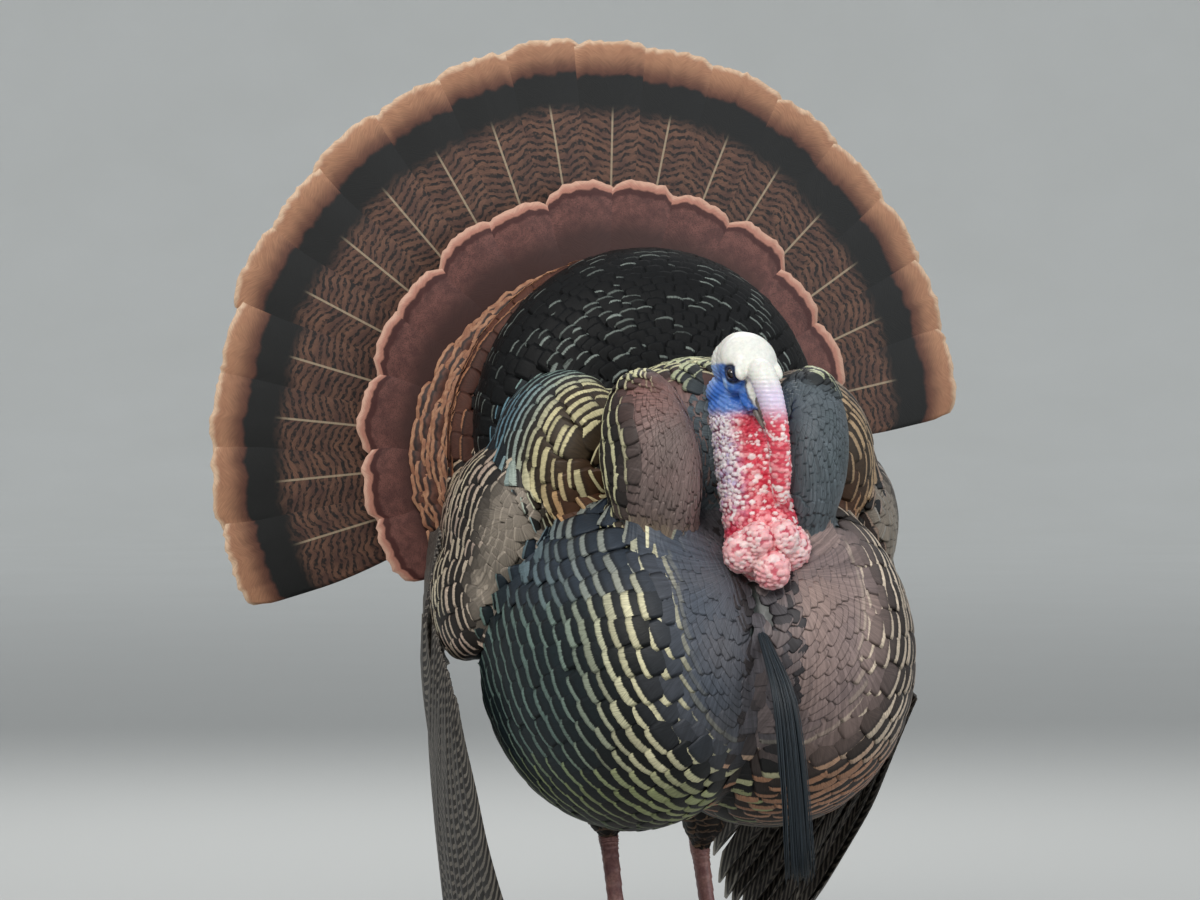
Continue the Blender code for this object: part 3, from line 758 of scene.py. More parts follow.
class Bare:
    """What each point of the bare skin is: its place, its wart and the wart's own number."""

    def __init__(self, mesh, wart_height, rng):
        self.points = p = points_of(mesh)
        self.local = head_local(p)
        self.along, self.rel = throat_place(p)
        lobes = [np.linalg.norm(p - np.array(placed(*c)), axis=1) - r for c, r in LOBES]
        self.on_lobes = smoothstep(0.004, 0.0, np.min(lobes, axis=0))
        to_snood = np.min([np.linalg.norm(p - q, axis=1) for q in snood_curve()[0]], axis=0)
        ahead = smoothstep(-0.266, -0.278, p[:, 1] - SHIFT.y)
        self.on_snood = (
            smoothstep(0.0150, 0.0128, to_snood) * ahead * smoothstep(0.665, 0.640, p[:, 2]))
        self.grow_warts(wart_height, rng)

    def grow_warts(self, height, rng):
        p = self.points
        hanging = self.on_snood * smoothstep(0.630, 0.600, p[:, 2])
        warty = smoothstep(-0.02, 0.20, self.along) * (1 - self.on_lobes) + 1.05 * self.on_lobes
        warty = warty * (1 - self.on_snood) + 0.55 * hanging
        size = 0.0032 + 0.0020 * smoothstep(0.1, 0.7, self.along) + 0.0012 * self.on_lobes
        size = np.maximum(size * (0.45 + 1.15 * noise3(p, 110, 3)), 0.0020)
        tree = tree_of(p)
        self.lift, self.share = np.zeros(len(p)), np.zeros(len(p))
        self.hue = np.full(len(p), 0.5)
        for i in scatter(p, warty > 0.25, size * 0.78, rng):
            reach = size[i] * rng.uniform(0.55, 0.80)
            tall = height * warty[i] * rng.uniform(0.6, 1.3) * min(1.15, size[i] / 0.0038)
            tint = rng.random()
            for q, j, d in tree.find_range(p[i], reach):
                squashed = d * d + 0.9 * (q.z - p[i, 2]) ** 2
                k = max(0.0, 1 - squashed / reach**2) ** 0.75
                self.lift[j] = max(self.lift[j], k * tall)
                if k > self.share[j]:
                    self.share[j], self.hue[j] = k, tint

    def wrinkles(self):
        """Fine folds of the face, crown and snood, in metres."""
        p, height = self.points, self.local[:, 2]

        def rings(coordinate, pitch, sway, scale, seed):
            return np.sin(coordinate * 2 * math.pi / pitch + sway * noise3(p, scale, seed))

        snood = self.on_snood * 0.00030 * rings(p[:, 2], 0.0042, 3, 90, 5)
        face = smoothstep(0.012, -0.004, height) * (1 - self.on_snood)
        neck = smoothstep(-0.016, -0.026, height) * smoothstep(0.30, 0.10, self.along)
        face = face + neck * 0.9 * np.abs(rings(p[:, 2], 0.0062, 6, 55, 19)) * 2
        cells = np.abs(noise3(p * np.array([1, 1, 1.6]), 420, 8) - 0.5) * 2
        folds = rings(self.local[:, 1] * 0.5 + height, 0.0048, 5, 70, 9)
        return snood + face * (0.00030 * cells + 0.00026 * folds) + 0.00018 * noise3(p, 260, 4)

    def colours(self, settings):
        """White crown, blue face and red throat, each in its place."""
        p, share, hue, along = self.points, self.share, self.hue, self.along
        x, y, z = self.local.T
        soft = (noise3(p, 150, 21) - 0.5) * 0.005
        crown = np.array(settings.crown_colour)
        red = np.array(settings.throat_colour)
        lavender, pink = tone(196, 190, 226), tone(244, 150, 156)
        # The face is blue below a line that slants both ways from over the eye.
        edge = np.interp(y, (-0.060, -0.027, -0.013, 0.0, 0.014, 0.030),
                         (-0.006, 0.0045, 0.0150, 0.0032, -0.0139, -0.0334))
        below = smoothstep(0.0024, -0.0020, z - edge + soft * 0.8)
        height = 0.77 * y + 0.63 * z
        spot = np.hypot(y + 0.013, z + 0.012)
        face = layered(
            np.array(settings.face_colour),
            (tone(132, 170, 228), smoothstep(0.52, 0.62, noise3(p, 190, 33)) * 0.35),
            (tone(172, 204, 244), smoothstep(0.0085, 0.0040, spot + soft) * 0.85),
            (tone(168, 194, 236), smoothstep(-0.004, 0.012, y + 1.6 * soft) * 0.7),
            (lavender, smoothstep(-0.038, -0.050, height + soft)),
        )
        near_eye = np.min(
            [np.linalg.norm(self.local - eye_place(s), axis=1) for s in (-1, 1)], axis=0)
        seam = np.exp(-(((z - edge) / 0.0011) ** 2)) * smoothstep(0.002, -0.010, y)
        seam = seam * (np.abs(x) > 0.009)
        # The throat is red between warts of every tint, and whiter along its sides.
        radial = unit(self.rel * np.array([1, 1, 0.0]))
        front = -radial[:, 1] + 0.30 * radial[:, 0]
        side = smoothstep(0.80, 0.30, front + 14 * soft) * smoothstep(1.05, 0.60, along + 9 * soft)
        # Upper front of the throat, under the bill: redder warts, and skin darkened by painted
        # shade.
        front_red_and_shade = smoothstep(0.35, 0.85, front) * smoothstep(0.62, 0.25, along)
        cap = layered(
            tone(250, 228, 226), (pink, smoothstep(0.24, 0.40, hue)),
            (tone(220, 66, 86), smoothstep(0.62, 0.80, hue + 0.5 * front_red_and_shade)))
        side_cap = layered(tone(240, 234, 238), (lavender, smoothstep(0.6, 1.0, hue)))
        pale = layered(tone(132, 78, 108), (side_cap, smoothstep(0.05, 0.42, share)))
        throat = layered(
            red, (cap, smoothstep(0.18, 0.62, share)), (pale, side * 0.9),
            (red * 0.55, front_red_and_shade * 0.55 * (1 - share)))
        down = smoothstep(-0.040, -0.052, height + soft * 1.4) * smoothstep(-0.06, 0.08, along)
        lobe_cap = layered(tone(244, 218, 216), (tone(240, 168, 172), hue))
        lobe = layered(
            tone(196, 66, 88),
            (lobe_cap, smoothstep(0.04, 0.42, share + 0.22 * noise3(p, 120, 2))),
            (pink, smoothstep(0.470, 0.450, p[:, 2]) * 0.3))
        snood = layered(
            tone(216, 70, 90), (cap, smoothstep(0.10, 0.60, share)),
            (tone(226, 212, 236), smoothstep(0.596, 0.622, p[:, 2])),
            (crown, smoothstep(0.626, 0.648, p[:, 2])))
        return layered(
            crown, (face, below),
            # Dark ring round each eye: dark lid skin, with painted shade under the brow.
            (tone(20, 26, 50), smoothstep(0.0122, 0.0088, near_eye + 0.3 * soft) * 0.95),
            (tone(24, 40, 74), seam * 0.85 * (1 - self.on_snood)),
            (throat, down), (lobe, self.on_lobes), (snood, self.on_snood))


def coat_tone(points):
    """Ground colour of skin and coat at each point of the feathered body."""
    near = np.stack(list(depths_of(points).values()), axis=1)
    weight = np.exp(-(near - near.min(axis=1, keepdims=True)) / 0.006)
    weight /= weight.sum(axis=1, keepdims=True)
    return weight @ np.array([GROUND[name] for name in GROUPS])


def skin_material():
    material, w, shader = new_material(
        "bare and feathered skin", 0.40, 0.0,
        Subsurface_Weight=0.12, Subsurface_Scale=0.004, Coat_Weight=0.12, Coat_Roughness=0.25,
    )
    where = w.place()
    mottle = w.noise(where, 260.0, 3.0, 0.6)
    w.shaded(shader, w.attribute("flesh_tint"), w.step(0.2, 0.8, mottle, 0.88, 1.08))
    w.feed(shader.inputs["Roughness"], w.step(0.2, 0.8, mottle, 0.46, 0.34))
    w.relief(shader, w.noise(where, 900.0), 0.30, 0.0004)
    return material


def build_skin(plumage, head):
    rng = np.random.default_rng(plumage.seed)
    flesh = head_flesh()
    eyes = [HEAD @ Vector(eye_place(s)) for s in (-1, 1)]
    finer_near(flesh, eyes, 0.0125, 2)
    set_points(flesh.data, shape_lids(points_of(flesh.data)))
    bare = Bare(flesh.data, head.wart_height, rng)
    p = bare.points
    near_eye = np.min([np.linalg.norm(p - np.array(e), axis=1) for e in eyes], axis=0)
    lift = (bare.lift + bare.wrinkles()) * smoothstep(0.0085, 0.0115, near_eye)
    colours = bare.colours(head)
    set_points(flesh.data, p + normals_of(flesh.data) * lift[:, None])
    moved = points_of(flesh.data)
    # The tree holds the lifted points, since the union keeps them as they are.
    tree = tree_of(moved)
    body = body_flesh(plumage.coat_depth)
    union = body.modifiers.new("join", "BOOLEAN")
    union.operation = "UNION"
    union.solver = "MANIFOLD"
    union.object = flesh
    skin = plain(body)
    skin.name = "skin"
    skin.data.name = "skin"
    points = points_of(skin.data)
    tint = coat_tone(points)
    low, high = moved.min(axis=0) - 0.001, moved.max(axis=0) + 0.001
    for i in np.nonzero(((points > low) & (points < high)).all(axis=1))[0]:
        _, j, gap = tree.find(points[i])
        if gap < 0.0004:
            tint[i] = colours[j]
    add_colour(skin.data, "flesh_tint", tint)
    discard(flesh)
    return finish_piece(skin, skin_material(), "bare_skin", *FLESH_NODES)


# ---------------------------------------------------------------- lie of the coat
class Surface:
    """The feathered body to lay feathers on."""

    def __init__(self, obj):
        mesh = obj.data
        mesh.calc_loop_triangles()
        self.object = obj
        self.points = points_of(mesh)
        self.faces = read(mesh.loop_triangles, "vertices", 3, np.int32)
        p = self.points[self.faces]
        self.normals = unit(np.cross(p[:, 1] - p[:, 0], p[:, 2] - p[:, 0]))
        self.soft = unit(normals_of(mesh)[self.faces].mean(axis=1))
        self.tree = BVHTree.FromPolygons(self.points.tolist(), self.faces.tolist())
        self.depths = depths_of(self.points)

    def snap(self, point):
        at, _, index, _ = self.tree.find_nearest(point)
        return at, Vector(self.soft[index])


def from_line(points, *corners):
    """Distance of each point from a line through the corners, or from a single one."""
    best = np.full(len(points), 1e9)
    corners = [np.array(c) for c in corners]
    if len(corners) == 1:
        corners = corners * 2
    for a, b in zip(corners, corners[1:]):
        axis = b - a
        t = np.clip((points - a) @ axis / max(axis.dot(axis), 1e-12), 0, 1)
        best = np.minimum(best, np.linalg.norm(points - a - t[:, None] * axis, axis=1))
    return best


def chains(keys):
    """Runs of segments that share an end: lists of (segment, turned round)."""
    at = {}
    for i, (a, b) in enumerate(keys):
        at.setdefault(a, []).append(i)
        at.setdefault(b, []).append(i)
    unused = set(range(len(keys)))
    starts = [k for k, used in at.items() if len(used) == 1] + list(at)
    found = []
    for key in starts:
        line = []
        while True:
            ahead = [i for i in at[key] if i in unused]
            if not ahead:
                break
            i = ahead[0]
            unused.discard(i)
            turned = keys[i][0] != key
            line.append((i, turned))
            key = keys[i][0] if turned else keys[i][1]
        if line:
            found.append(line)
    return found


def crossings(surface, values, faces, level):
    """Where the level cuts each of these faces: keys of the two edges, and the two places."""
    inside = values < level
    corners = surface.faces[faces].astype(np.int64)
    p = surface.points[surface.faces[faces]]
    ends, spots = [], []
    for i, j in ((0, 1), (1, 2), (2, 0)):
        rise = values[:, j] - values[:, i]
        t = (level - values[:, i]) / np.where(np.abs(rise) < 1e-12, 1e-12, rise)
        spots.append(p[:, i] + (p[:, j] - p[:, i]) * t[:, None])
        a, b = corners[:, i], corners[:, j]
        key = np.minimum(a, b) * len(surface.points) + np.maximum(a, b)
        ends.append(np.where(inside[:, i] != inside[:, j], key, -1))
    ends, spots = np.stack(ends, 1), np.stack(spots, 1)
    order = np.argsort(-(ends >= 0).astype(int), axis=1, kind="stable")[:, :2]
    each = np.arange(len(faces))[:, None]
    return ends[each, order], spots[each, order]


def softened(rows):
    """A run of places drawn a little towards its own middle line, twice."""
    for _ in range(2):
        rows[1:-1] = (rows[:-2] + 2 * rows[1:-1] + rows[2:]) / 4


ROW_JITTER = 0.12  # how far a root strays along its row, in feather widths


def level_rows(surface, field, keep, pitch_at, width_at, rng, first, anchor):
    """Roots in staggered rows along the lines on which the field is level.

    Each root is its place, the way in which the field grows, and its level.
    """
    f, p, n = field[surface.faces], surface.points[surface.faces], surface.normals
    grow = unit(sum(
        f[:, i : i + 1] * np.cross(n, p[:, (i + 2) % 3] - p[:, (i + 1) % 3]) for i in range(3)
    ))
    low, high = f.min(axis=1), f.max(axis=1)
    level, row, found = first, 0, []
    top = high[keep].max() if keep.any() else 0
    while level < top:
        hit = np.nonzero(keep & (low < level) & (high >= level))[0]
        if len(hit) > 3:
            ends, spots = crossings(surface, f[hit], hit, level)
            for line in chains(ends.tolist()):
                at = [spots[line[0][0], 1 if line[0][1] else 0]]
                at = np.array(at + [spots[i, 0 if turned else 1] for i, turned in line])
                way = grow[hit[[i for i, _ in line]]]
                way = np.vstack([way[:1], (way[1:] + way[:-1]) / 2, way[-1:]])
                if len(at) > 6:
                    softened(at)
                    softened(way)
                steps = np.linalg.norm(np.diff(at, axis=0), axis=1)
                run = np.concatenate([[0], np.cumsum(steps)])
                width = width_at(level)
                if run[-1] < 0.4 * width:
                    continue
                start = run[np.argmax(at @ np.array(anchor))] + (0.5 * width if row % 2 else 0.0)
                marks = np.arange(start % width, run[-1], width)
                marks = marks + rng.uniform(-ROW_JITTER, ROW_JITTER, len(marks)) * width
                marks = np.clip(marks, 0, run[-1])
                place, ahead = (
                    np.stack([np.interp(marks, run, rows[:, c]) for c in range(3)], axis=1)
                    for rows in (at, way)
                )
                found.append(np.hstack([place, unit(ahead), np.full((len(marks), 1), level)]))
        level += pitch_at(level)
        row += 1
    return np.vstack(found) if found else np.empty((0, 7))


VANE_ROOT = 0.40  # width of a feather's root, in widths of the feather
VANE_THICK = 0.0005
VANE_CROWN = 0.0007  # how much higher its middle lies than its sides
VANE_FRAY = 0.008


def vane_template(name, columns, rows, corner):
    """One feather lying on a plane: closed, sharp at its rim, with its own map."""
    u = np.linspace(-1, 1, columns + 1)
    v = 1 - (1 - np.linspace(0, 1, rows + 1)) ** 1.5
    co, across, along, shell = [], [], [], []
    for r, c in product(range(rows + 1), range(columns + 1)):
        wide = VANE_ROOT + (1 - VANE_ROOT) * math.sin(min(v[r] / 0.5, 1) * math.pi / 2)
        teeth = VANE_FRAY * (1 if c % 2 else -1) * v[r] ** 6
        co.append((u[c] * wide, v[r] * (1 - corner * abs(u[c]) ** 4.0) + teeth, 0))
        across.append(u[c])
        along.append(v[r])
        edge = r in (0, rows) or c in (0, columns)
        shell.append(VANE_CROWN * (1 - u[c] ** 2) + (0 if edge else VANE_THICK))
    wide = columns + 1
    faces = [
        (r * wide + c, r * wide + c + 1, (r + 1) * wide + c + 1, (r + 1) * wide + c)
        for r in range(rows) for c in range(columns)
    ]
    # The underside is one strip, closed to every point of the root and of the tip.
    under = [(r * wide, (r + 1) * wide, (r + 1) * wide + columns, r * wide + columns)
             for r in range(1, rows - 1)]
    last = rows * wide
    under.append((*range(last, last + wide), (rows - 1) * wide + columns, (rows - 1) * wide))
    under.append((*range(columns, -1, -1), wide, wide + columns))
    mesh = bpy.data.meshes.new(name)
    mesh.from_pydata(co, [], faces + under)
    across, along = np.array(across), np.array(along)
    add_numbers(mesh, "climb", 1 - (1 - along) ** 1.8)
    add_numbers(mesh, "aslant", across * (0.3 + 0.7 * along))
    add_numbers(mesh, "shell", shell)
    add_uv(mesh, "Vane", np.stack([across / 2 + 0.5, along], axis=1)[corners_of(mesh)])
    # A flat underside keeps the rim crisp.
    mesh.polygons.foreach_set("use_smooth", [True] * len(faces) + [False] * len(under))
    return link(name, mesh)


def plumage_tree():
    """Lays a vane at every root and bends it to the skin below."""
    tree = bpy.data.node_groups.new("Lay plumage", "GeometryNodeTree")
    for label, kind in (
        ("Roots", "NodeSocketGeometry"),
        ("Vane", "NodeSocketObject"),
        ("Skin", "NodeSocketObject"),
        ("Bed", "NodeSocketFloat"),
        ("Finish", "NodeSocketMaterial"),
    ):
        tree.interface.new_socket(label, in_out="INPUT", socket_type=kind)
    tree.interface.new_socket("Coat", in_out="OUTPUT", socket_type="NodeSocketGeometry")
    w = Wires(tree)
    given = w.put("NodeGroupInput").outputs
    out = w.put("NodeGroupOutput")

    def named(name, kind="FLOAT"):
        made = w.put("GeometryNodeInputNamedAttribute", {"Name": name}, data_type=kind)
        return made.outputs["Attribute"]

    vane = w.put("GeometryNodeObjectInfo", {"Object": given["Vane"], "As Instance": True})
    skin = w.put("GeometryNodeObjectInfo", {"Object": given["Skin"]}).outputs["Geometry"]
    laid = w.put(
        "GeometryNodeInstanceOnPoints",
        {
            "Points": given["Roots"],
            "Instance": vane.outputs["Geometry"],
            "Rotation": named("turn", "QUATERNION"),
            "Scale": named("size", "FLOAT_VECTOR"),
        },
    )
    real = w.put("GeometryNodeRealizeInstances", {"Geometry": laid.outputs[0]})
    below, facing = (
        w.put(
            "GeometryNodeSampleNearestSurface", {"Mesh": skin, "Value": w.put(kind).outputs[0]},
            data_type="FLOAT_VECTOR",
        ).outputs["Value"]
        for kind in ("GeometryNodeInputPosition", "GeometryNodeInputNormal")
    )
    height = w.maths("MULTIPLY_ADD", named("rise"), named("climb"), given["Bed"])
    height = w.maths("MULTIPLY_ADD", named("tilt"), named("aslant"), height)
    height = w.maths("MULTIPLY_ADD", named("bulk"), named("shell"), height)
    out_way = w.put("ShaderNodeVectorMath", {0: facing}, operation="NORMALIZE").outputs[0]
    lifted = w.put("ShaderNodeVectorMath", {0: out_way, "Scale": height}, operation="SCALE")
    goal = w.put("ShaderNodeVectorMath", {0: below, 1: lifted.outputs[0]}, operation="ADD")
    bent = w.put(
        "GeometryNodeSetPosition", {"Geometry": real.outputs[0], "Position": goal.outputs[0]})
    finish = w.put(
        "GeometryNodeSetMaterial", {"Geometry": bent.outputs[0], "Material": given["Finish"]})
    w.feed(out.inputs["Coat"], finish.outputs[0])
    return tree


def once(name, make):
    """The node group of that name, made when it is first asked for."""
    return bpy.data.node_groups.get(name) or make()


PATCH = 0.003  # side of one feather's patch on the bake map
BED = 0.0005  # height of a feather's underside over the skin
SWING = 0.05  # how far a feather may turn from its row's way, in radians
LANES = (42.0, 24.0)  # how fine the calm streaks are, round a region's centre and away from it
SPENT = ("root_map", "size", "turn", "rise", "tilt", "bulk", "climb", "aslant", "shell")


def bearings(places, centre, middle):
    """Angle of each place round a centre, as seen from outside the body's middle."""
    out = unit(middle - np.array(SHIFT) - np.array((0, 0, 0.42)))
    top = unit(np.cross(np.cross(out, (0.1, 0.05, 1.0)), out))
    rel = places - np.array(centre)
    return np.arctan2(rel @ np.cross(top, out), rel @ top)


def bake_places(roots, angle):
    """Places of the roots on an unwrap that spreads the skin out round a centre."""
    far = roots[:, 6] / max(roots[:, 6].max(), 1e-6) * 0.49
    return np.stack([0.5 + far * np.sin(angle), 0.5 + far * np.cos(angle), 0 * far], axis=1)


def lay(name, surface, roots, centre, look, material, slot, template, rng):
    """One piece of coat: a vane at each root.

    look has length, half, rise, tilt, bulk, calm, base, edge and rim: one value or one per root.
    """
    count = len(roots)
    middle = roots[:, :3].mean(axis=0)
    mesh = bpy.data.meshes.new(name)

    def each(key, default=None):
        return np.broadcast_to(look.get(key, default), (count,))

    def varied(spread):
        return 1 + rng.uniform(-spread, spread, count)

    places, turns, fit = np.empty((count, 3)), np.empty((count, 4)), np.ones(count)
    length = each("length") * varied(0.045)
    turned = rng.normal(0, SWING, count)
    for i in range(count):
        at, n = surface.snap(Vector(roots[i, :3]))
        ahead = Vector(roots[i, 3:6])
        ahead = (ahead - n * n.dot(ahead)).normalized()
        ahead = Quaternion(n, float(turned[i])) @ ahead
        _, beyond = surface.snap(at + ahead * float(length[i]))
        # A feather over a sharp bend is shortened, so that it doesn't fold.
        bend = math.degrees(n.angle(beyond, 0.0))
        fit[i] = min(1.0, max(0.55, 1.0 - (bend - 28.0) / 70.0))
        places[i] = at
        turns[i] = Matrix((ahead.cross(n), ahead, n)).transposed().to_quaternion()
    mesh.from_pydata(places, [], [])
    add_numbers(mesh, "turn", turns, "QUATERNION")
    half = each("half") * varied(0.10)
    add_vectors(mesh, "size", np.stack([half, length * fit, np.ones(count)], axis=1))
    calm = each("calm", 0.0)
    rise = rng.uniform(-0.10, 0.10, count) * (1 - 0.6 * calm)
    add_numbers(mesh, "rise", look["rise"] * (1 + rise))
    tilt = rng.normal(0, 0.00025, count) * (1 - 0.9 * calm)
    add_numbers(mesh, "tilt", look.get("tilt", 0.0004) + tilt)
    add_numbers(mesh, "bulk", each("bulk", 1.0))
    add_numbers(mesh, "grain", rng.random(count))
    add_numbers(mesh, "calm", calm)
    add_numbers(mesh, "rim", look["rim"] * varied(0.28))
    dapple = look.get("dapple", 0.16)
    add_colour(mesh, "base_tint", look["base"] * (1 + rng.uniform(-dapple, dapple, (count, 1))))
    add_colour(mesh, "edge_tint", look["edge"] * (1 + rng.uniform(-1.8, 1.0, (count, 1)) * dapple))
    angle = bearings(roots[:, :3], centre, middle)
    add_vectors(mesh, "root_map", bake_places(roots, angle))
    obj = link(name, mesh)
    tree = once("Lay plumage", plumage_tree)
    grow = obj.modifiers.new("plumage", "NODES")
    grow.node_group = tree
    sockets = {s.name: s.identifier for s in tree.interface.items_tree if s.in_out == "INPUT"}
    grow[sockets["Vane"]] = template
    grow[sockets["Skin"]] = surface.object
    grow[sockets["Bed"]] = BED
    grow[sockets["Finish"]] = material
    made = plain(obj).data
    at = read(made.attributes["root_map"].data, "vector", 3)[corners_of(made), :2]
    add_uv(made, "OFBake", at + (read(made.uv_layers["Vane"].uv, "vector", 2) - 0.5) * PATCH)
    at = points_of(made)
    angle = bearings(at, centre, middle)
    far = np.linalg.norm(at - np.array(centre), axis=1)
    flow = [LANES[0] * np.cos(angle), LANES[0] * np.sin(angle), far * LANES[1]]
    add_vectors(made, "flow", np.stack(flow, axis=1))
    for spent in SPENT:
        if spent in made.attributes:
            made.attributes.remove(made.attributes[spent])
    return finish_piece(obj, material, slot, smooth=False)


def steady(value):
    """The value as a function of the level, if it isn't one already."""
    return value if callable(value) else lambda level: value


def ramp(first, *rises):
    """A spacing that grows with the level: each rise is how much, from where and to where."""
    def spacing(level):
        total = first
        for more, low, high in rises:
            total = total + more * float(smoothstep(low, high, level))
        return total
    return spacing


def coat(name, surface, rng, group, lines, material, slot, template, look_at, pitch, width,
         side=None, first=0.004, slack=0.008, field=None, anchor=FRONT, middle=0.006):
    """Lays one region: rows round the lines, over the skin that the group owns."""
    p = surface.points
    field = from_line(p, *lines) if field is None else field
    margin = lead(surface.depths, group)
    if side is not None:
        margin = np.minimum(margin, SIDES[side] * (p[:, 0] - SHIFT.x - middle) + 0.016 - slack)
    keep = margin[surface.faces].mean(axis=1) > -slack

    def pitch_at(level):
        # Rows lie closer where the first, shorter feathers spread from the middle.
        return steady(pitch)(level) * (0.70 if level < 0.045 else 1.0)

    roots = level_rows(surface, field, keep, pitch_at, steady(width), rng, first, anchor)
    place, way, level = roots[:, :3], roots[:, 3:6], roots[:, 6]
    look = look_at(place, level)
    # Feathers shrink where the next region's form stands up beside their root or their tip.
    inside = smoothstep(-slack, 0.010, lead(depths_of(place), group))
    full = look["length"] * (0.66 + 0.34 * inside)
    tip_lead = lead(depths_of(place + way * full[:, None]), group)
    room = smoothstep(-0.020, 0.0, tip_lead)
    look["length"] = np.minimum(full, 0.010 + 0.44 * level) * (0.45 + 0.55 * room)
    look["half"] = look["half"] * (0.60 + 0.40 * room)
    look["rise"] = look["rise"] * (0.45 + 0.55 * inside) * np.sqrt(look["length"] / full)
    return lay(name, surface, roots, lines[0], look, material, slot, template, rng)


def many(colour, count):
    return np.broadcast_to(np.asarray(colour, float), (count, 3))


def breast_look(side, settings):
    """Calm slate or mauve round the cleft, then dark feathers with pale bars."""
    def look(p, far):
        x = SIDES[side] * (p[:, 0] - SHIFT.x - 0.008)
        z = p[:, 2]
        near = far + 0.012 * (noise3(p, 26, 31) - 0.5) - 0.024 * smoothstep(0.420, 0.330, z)
        calm = smoothstep(0.120, 0.078, near)
        grown = smoothstep(0.076, 0.150, far)
        back = smoothstep(0.25, 0.42, far)
        under = smoothstep(0.250, 0.215, z)
        outside = smoothstep(0.105, 0.170, x)
        behind = smoothstep(0.00, 0.10, p[:, 1] - SHIFT.y)
        below = smoothstep(0.400, 0.300, z) * smoothstep(0.130, 0.050, x)
        fade = smoothstep(0.125, 0.205, far - 0.032 * below)
        clouds = noise3(p, 30, 7)
        if side == "right":
            top = smoothstep(0.425, 0.465, z) * smoothstep(0.080, 0.110, x)
            edge = layered(
                np.array(settings.edge_colour), (tone(146, 150, 124), fade),
                (tone(88, 118, 116), outside * 0.8),
                (tone(140, 152, 98), smoothstep(0.305, 0.262, z) * 0.8),
                (tone(88, 104, 118), top * 0.7))
            base = layered(
                tone(14, 16, 15), (tone(20, 32, 36), outside), (tone(44, 54, 66), top * 0.8))
            slate = layered(
                tone(76, 82, 92), (tone(96, 92, 94), clouds),
                (tone(62, 74, 88), smoothstep(0.02, 0.07, x) * 0.5))
            cleft = tone(82, 78, 82)
        else:
            edge = layered(
                tone(216, 198, 176), (tone(166, 138, 118), fade),
                (tone(166, 106, 68), smoothstep(0.330, 0.285, z) * 0.8),
                (tone(104, 84, 74), outside * 0.6))
            base = layered(tone(44, 36, 32), (tone(52, 38, 32), outside))
            slate = layered(tone(116, 102, 102), (tone(150, 128, 120), clouds))
            cleft = tone(102, 92, 92)
        # Calm feathers that lie across the middle turn dark: painted shadow in the cleft under the
        # caruncles.
        slate = layered(
            slate, (cleft, smoothstep(0.024, 0.006, x)),
            (tone(40, 38, 40), smoothstep(-0.002, -0.008, x) * 0.8))
        edge = layered(
            edge, (slate * 1.03, smoothstep(0.090, 0.066, near)),
            (tone(56, 72, 52), under * 0.85), (tone(90, 68, 50), behind * 0.85))
        base = layered(
            base, (slate, calm), (tone(14, 19, 16), under * 0.8), (SOOT, behind * 0.8))
        # Across a band of the breast the pale tips are wider: the feathers' own pale edges,
        # widened by painted sheen.
        sheen_band = np.exp(-(((far - 0.130 - 0.024 * below) / 0.042) ** 2))
        sheen_band = sheen_band * (1 - under) * (1 - 0.6 * outside)
        half = 0.0112 + 0.0050 * smoothstep(0.068, 0.100, far) + 0.003 * back
        return {
            "length": 0.030 + 0.010 * grown + 0.014 * back,
            "half": half * (0.72 + 0.28 * smoothstep(-0.004, 0.030, x)),
            "rise": 0.0024 + 0.0050 * (1 - calm), "tilt": 0.0004 * (1 - calm),
            "rim": 0.125 + 0.075 * sheen_band, "bulk": 1.0 - 0.85 * calm, "calm": calm,
            "base": base, "edge": edge, "dapple": 0.03 + 0.11 * (1 - calm[:, None]),
        }
    return look


def shoulder_look(side):
    """Cream arcs over brown, turning teal outside and orange low down."""
    def look(p, far):
        z = p[:, 2]
        x = SIDES[side] * (p[:, 0] - SHIFT.x)
        out = smoothstep(0.068, 0.122, far + 0.02 * (noise3(p, 34, 4) - 0.5))
        warm = smoothstep(0.570, 0.515, z) * smoothstep(0.155, 0.120, x)
        edge = layered(
            tone(198, 188, 146), (tone(104, 140, 154), out),
            (tone(192, 120, 70), warm * smoothstep(0.03, 0.06, far) * 0.8),
            (tone(160, 170, 126), smoothstep(0.60, 0.66, z) * 0.6))
        if side == "left":
            edge = blend_colours(edge, tone(150, 108, 84), 0.65)
        base = layered(tone(58, 46, 32), (tone(14, 24, 30), out), (tone(86, 50, 30), warm * 0.8))
        return {
            "length": 0.032, "half": 0.0165, "rise": 0.0056, "rim": 0.145 + 0.02 * (1 - out),
            "bulk": 0.6, "calm": 0.42, "base": base, "edge": edge, "dapple": 0.10,
        }
    return look


def collar_look(side):
    """A smooth lobe beside the throat, barred only along its outer rim."""
    def look(p, far):
        z = p[:, 2]
        x = SIDES[side] * (p[:, 0] - SHIFT.x)
        wave = noise3(p, 50, 9)
        out = np.maximum(smoothstep(0.098, 0.116, x + 0.012 * (wave - 0.5)),
                         smoothstep(0.625, 0.640, z + 0.02 * (wave - 0.5)))
        out = np.maximum(out, smoothstep(-0.215, -0.180, p[:, 1] - SHIFT.y))
        if side == "right":
            base = layered(
                tone(124, 104, 100), (tone(112, 98, 94), wave),
                (tone(136, 84, 76), smoothstep(0.59, 0.63, z) * 0.5),
                (tone(140, 126, 94), smoothstep(0.520, 0.485, z) * 0.8))
            rim = tone(214, 210, 168)
        else:
            base = layered(tone(92, 100, 106), (tone(76, 86, 90), wave))
            rim = tone(190, 194, 156)
        return {
            "length": 0.023 + 0.006 * out, "half": 0.0078 + 0.0022 * out,
            "rise": 0.0019 + 0.0040 * out, "tilt": 0.0, "rim": 0.10 + 0.09 * out,
            "bulk": 0.10 + 0.5 * out, "calm": 1 - out,
            "base": layered(base, (tone(22, 20, 18), out * 0.95)),
            "edge": layered(base * 1.02, (rim, out)), "dapple": 0.03 + 0.09 * out[:, None],
        }
    return look


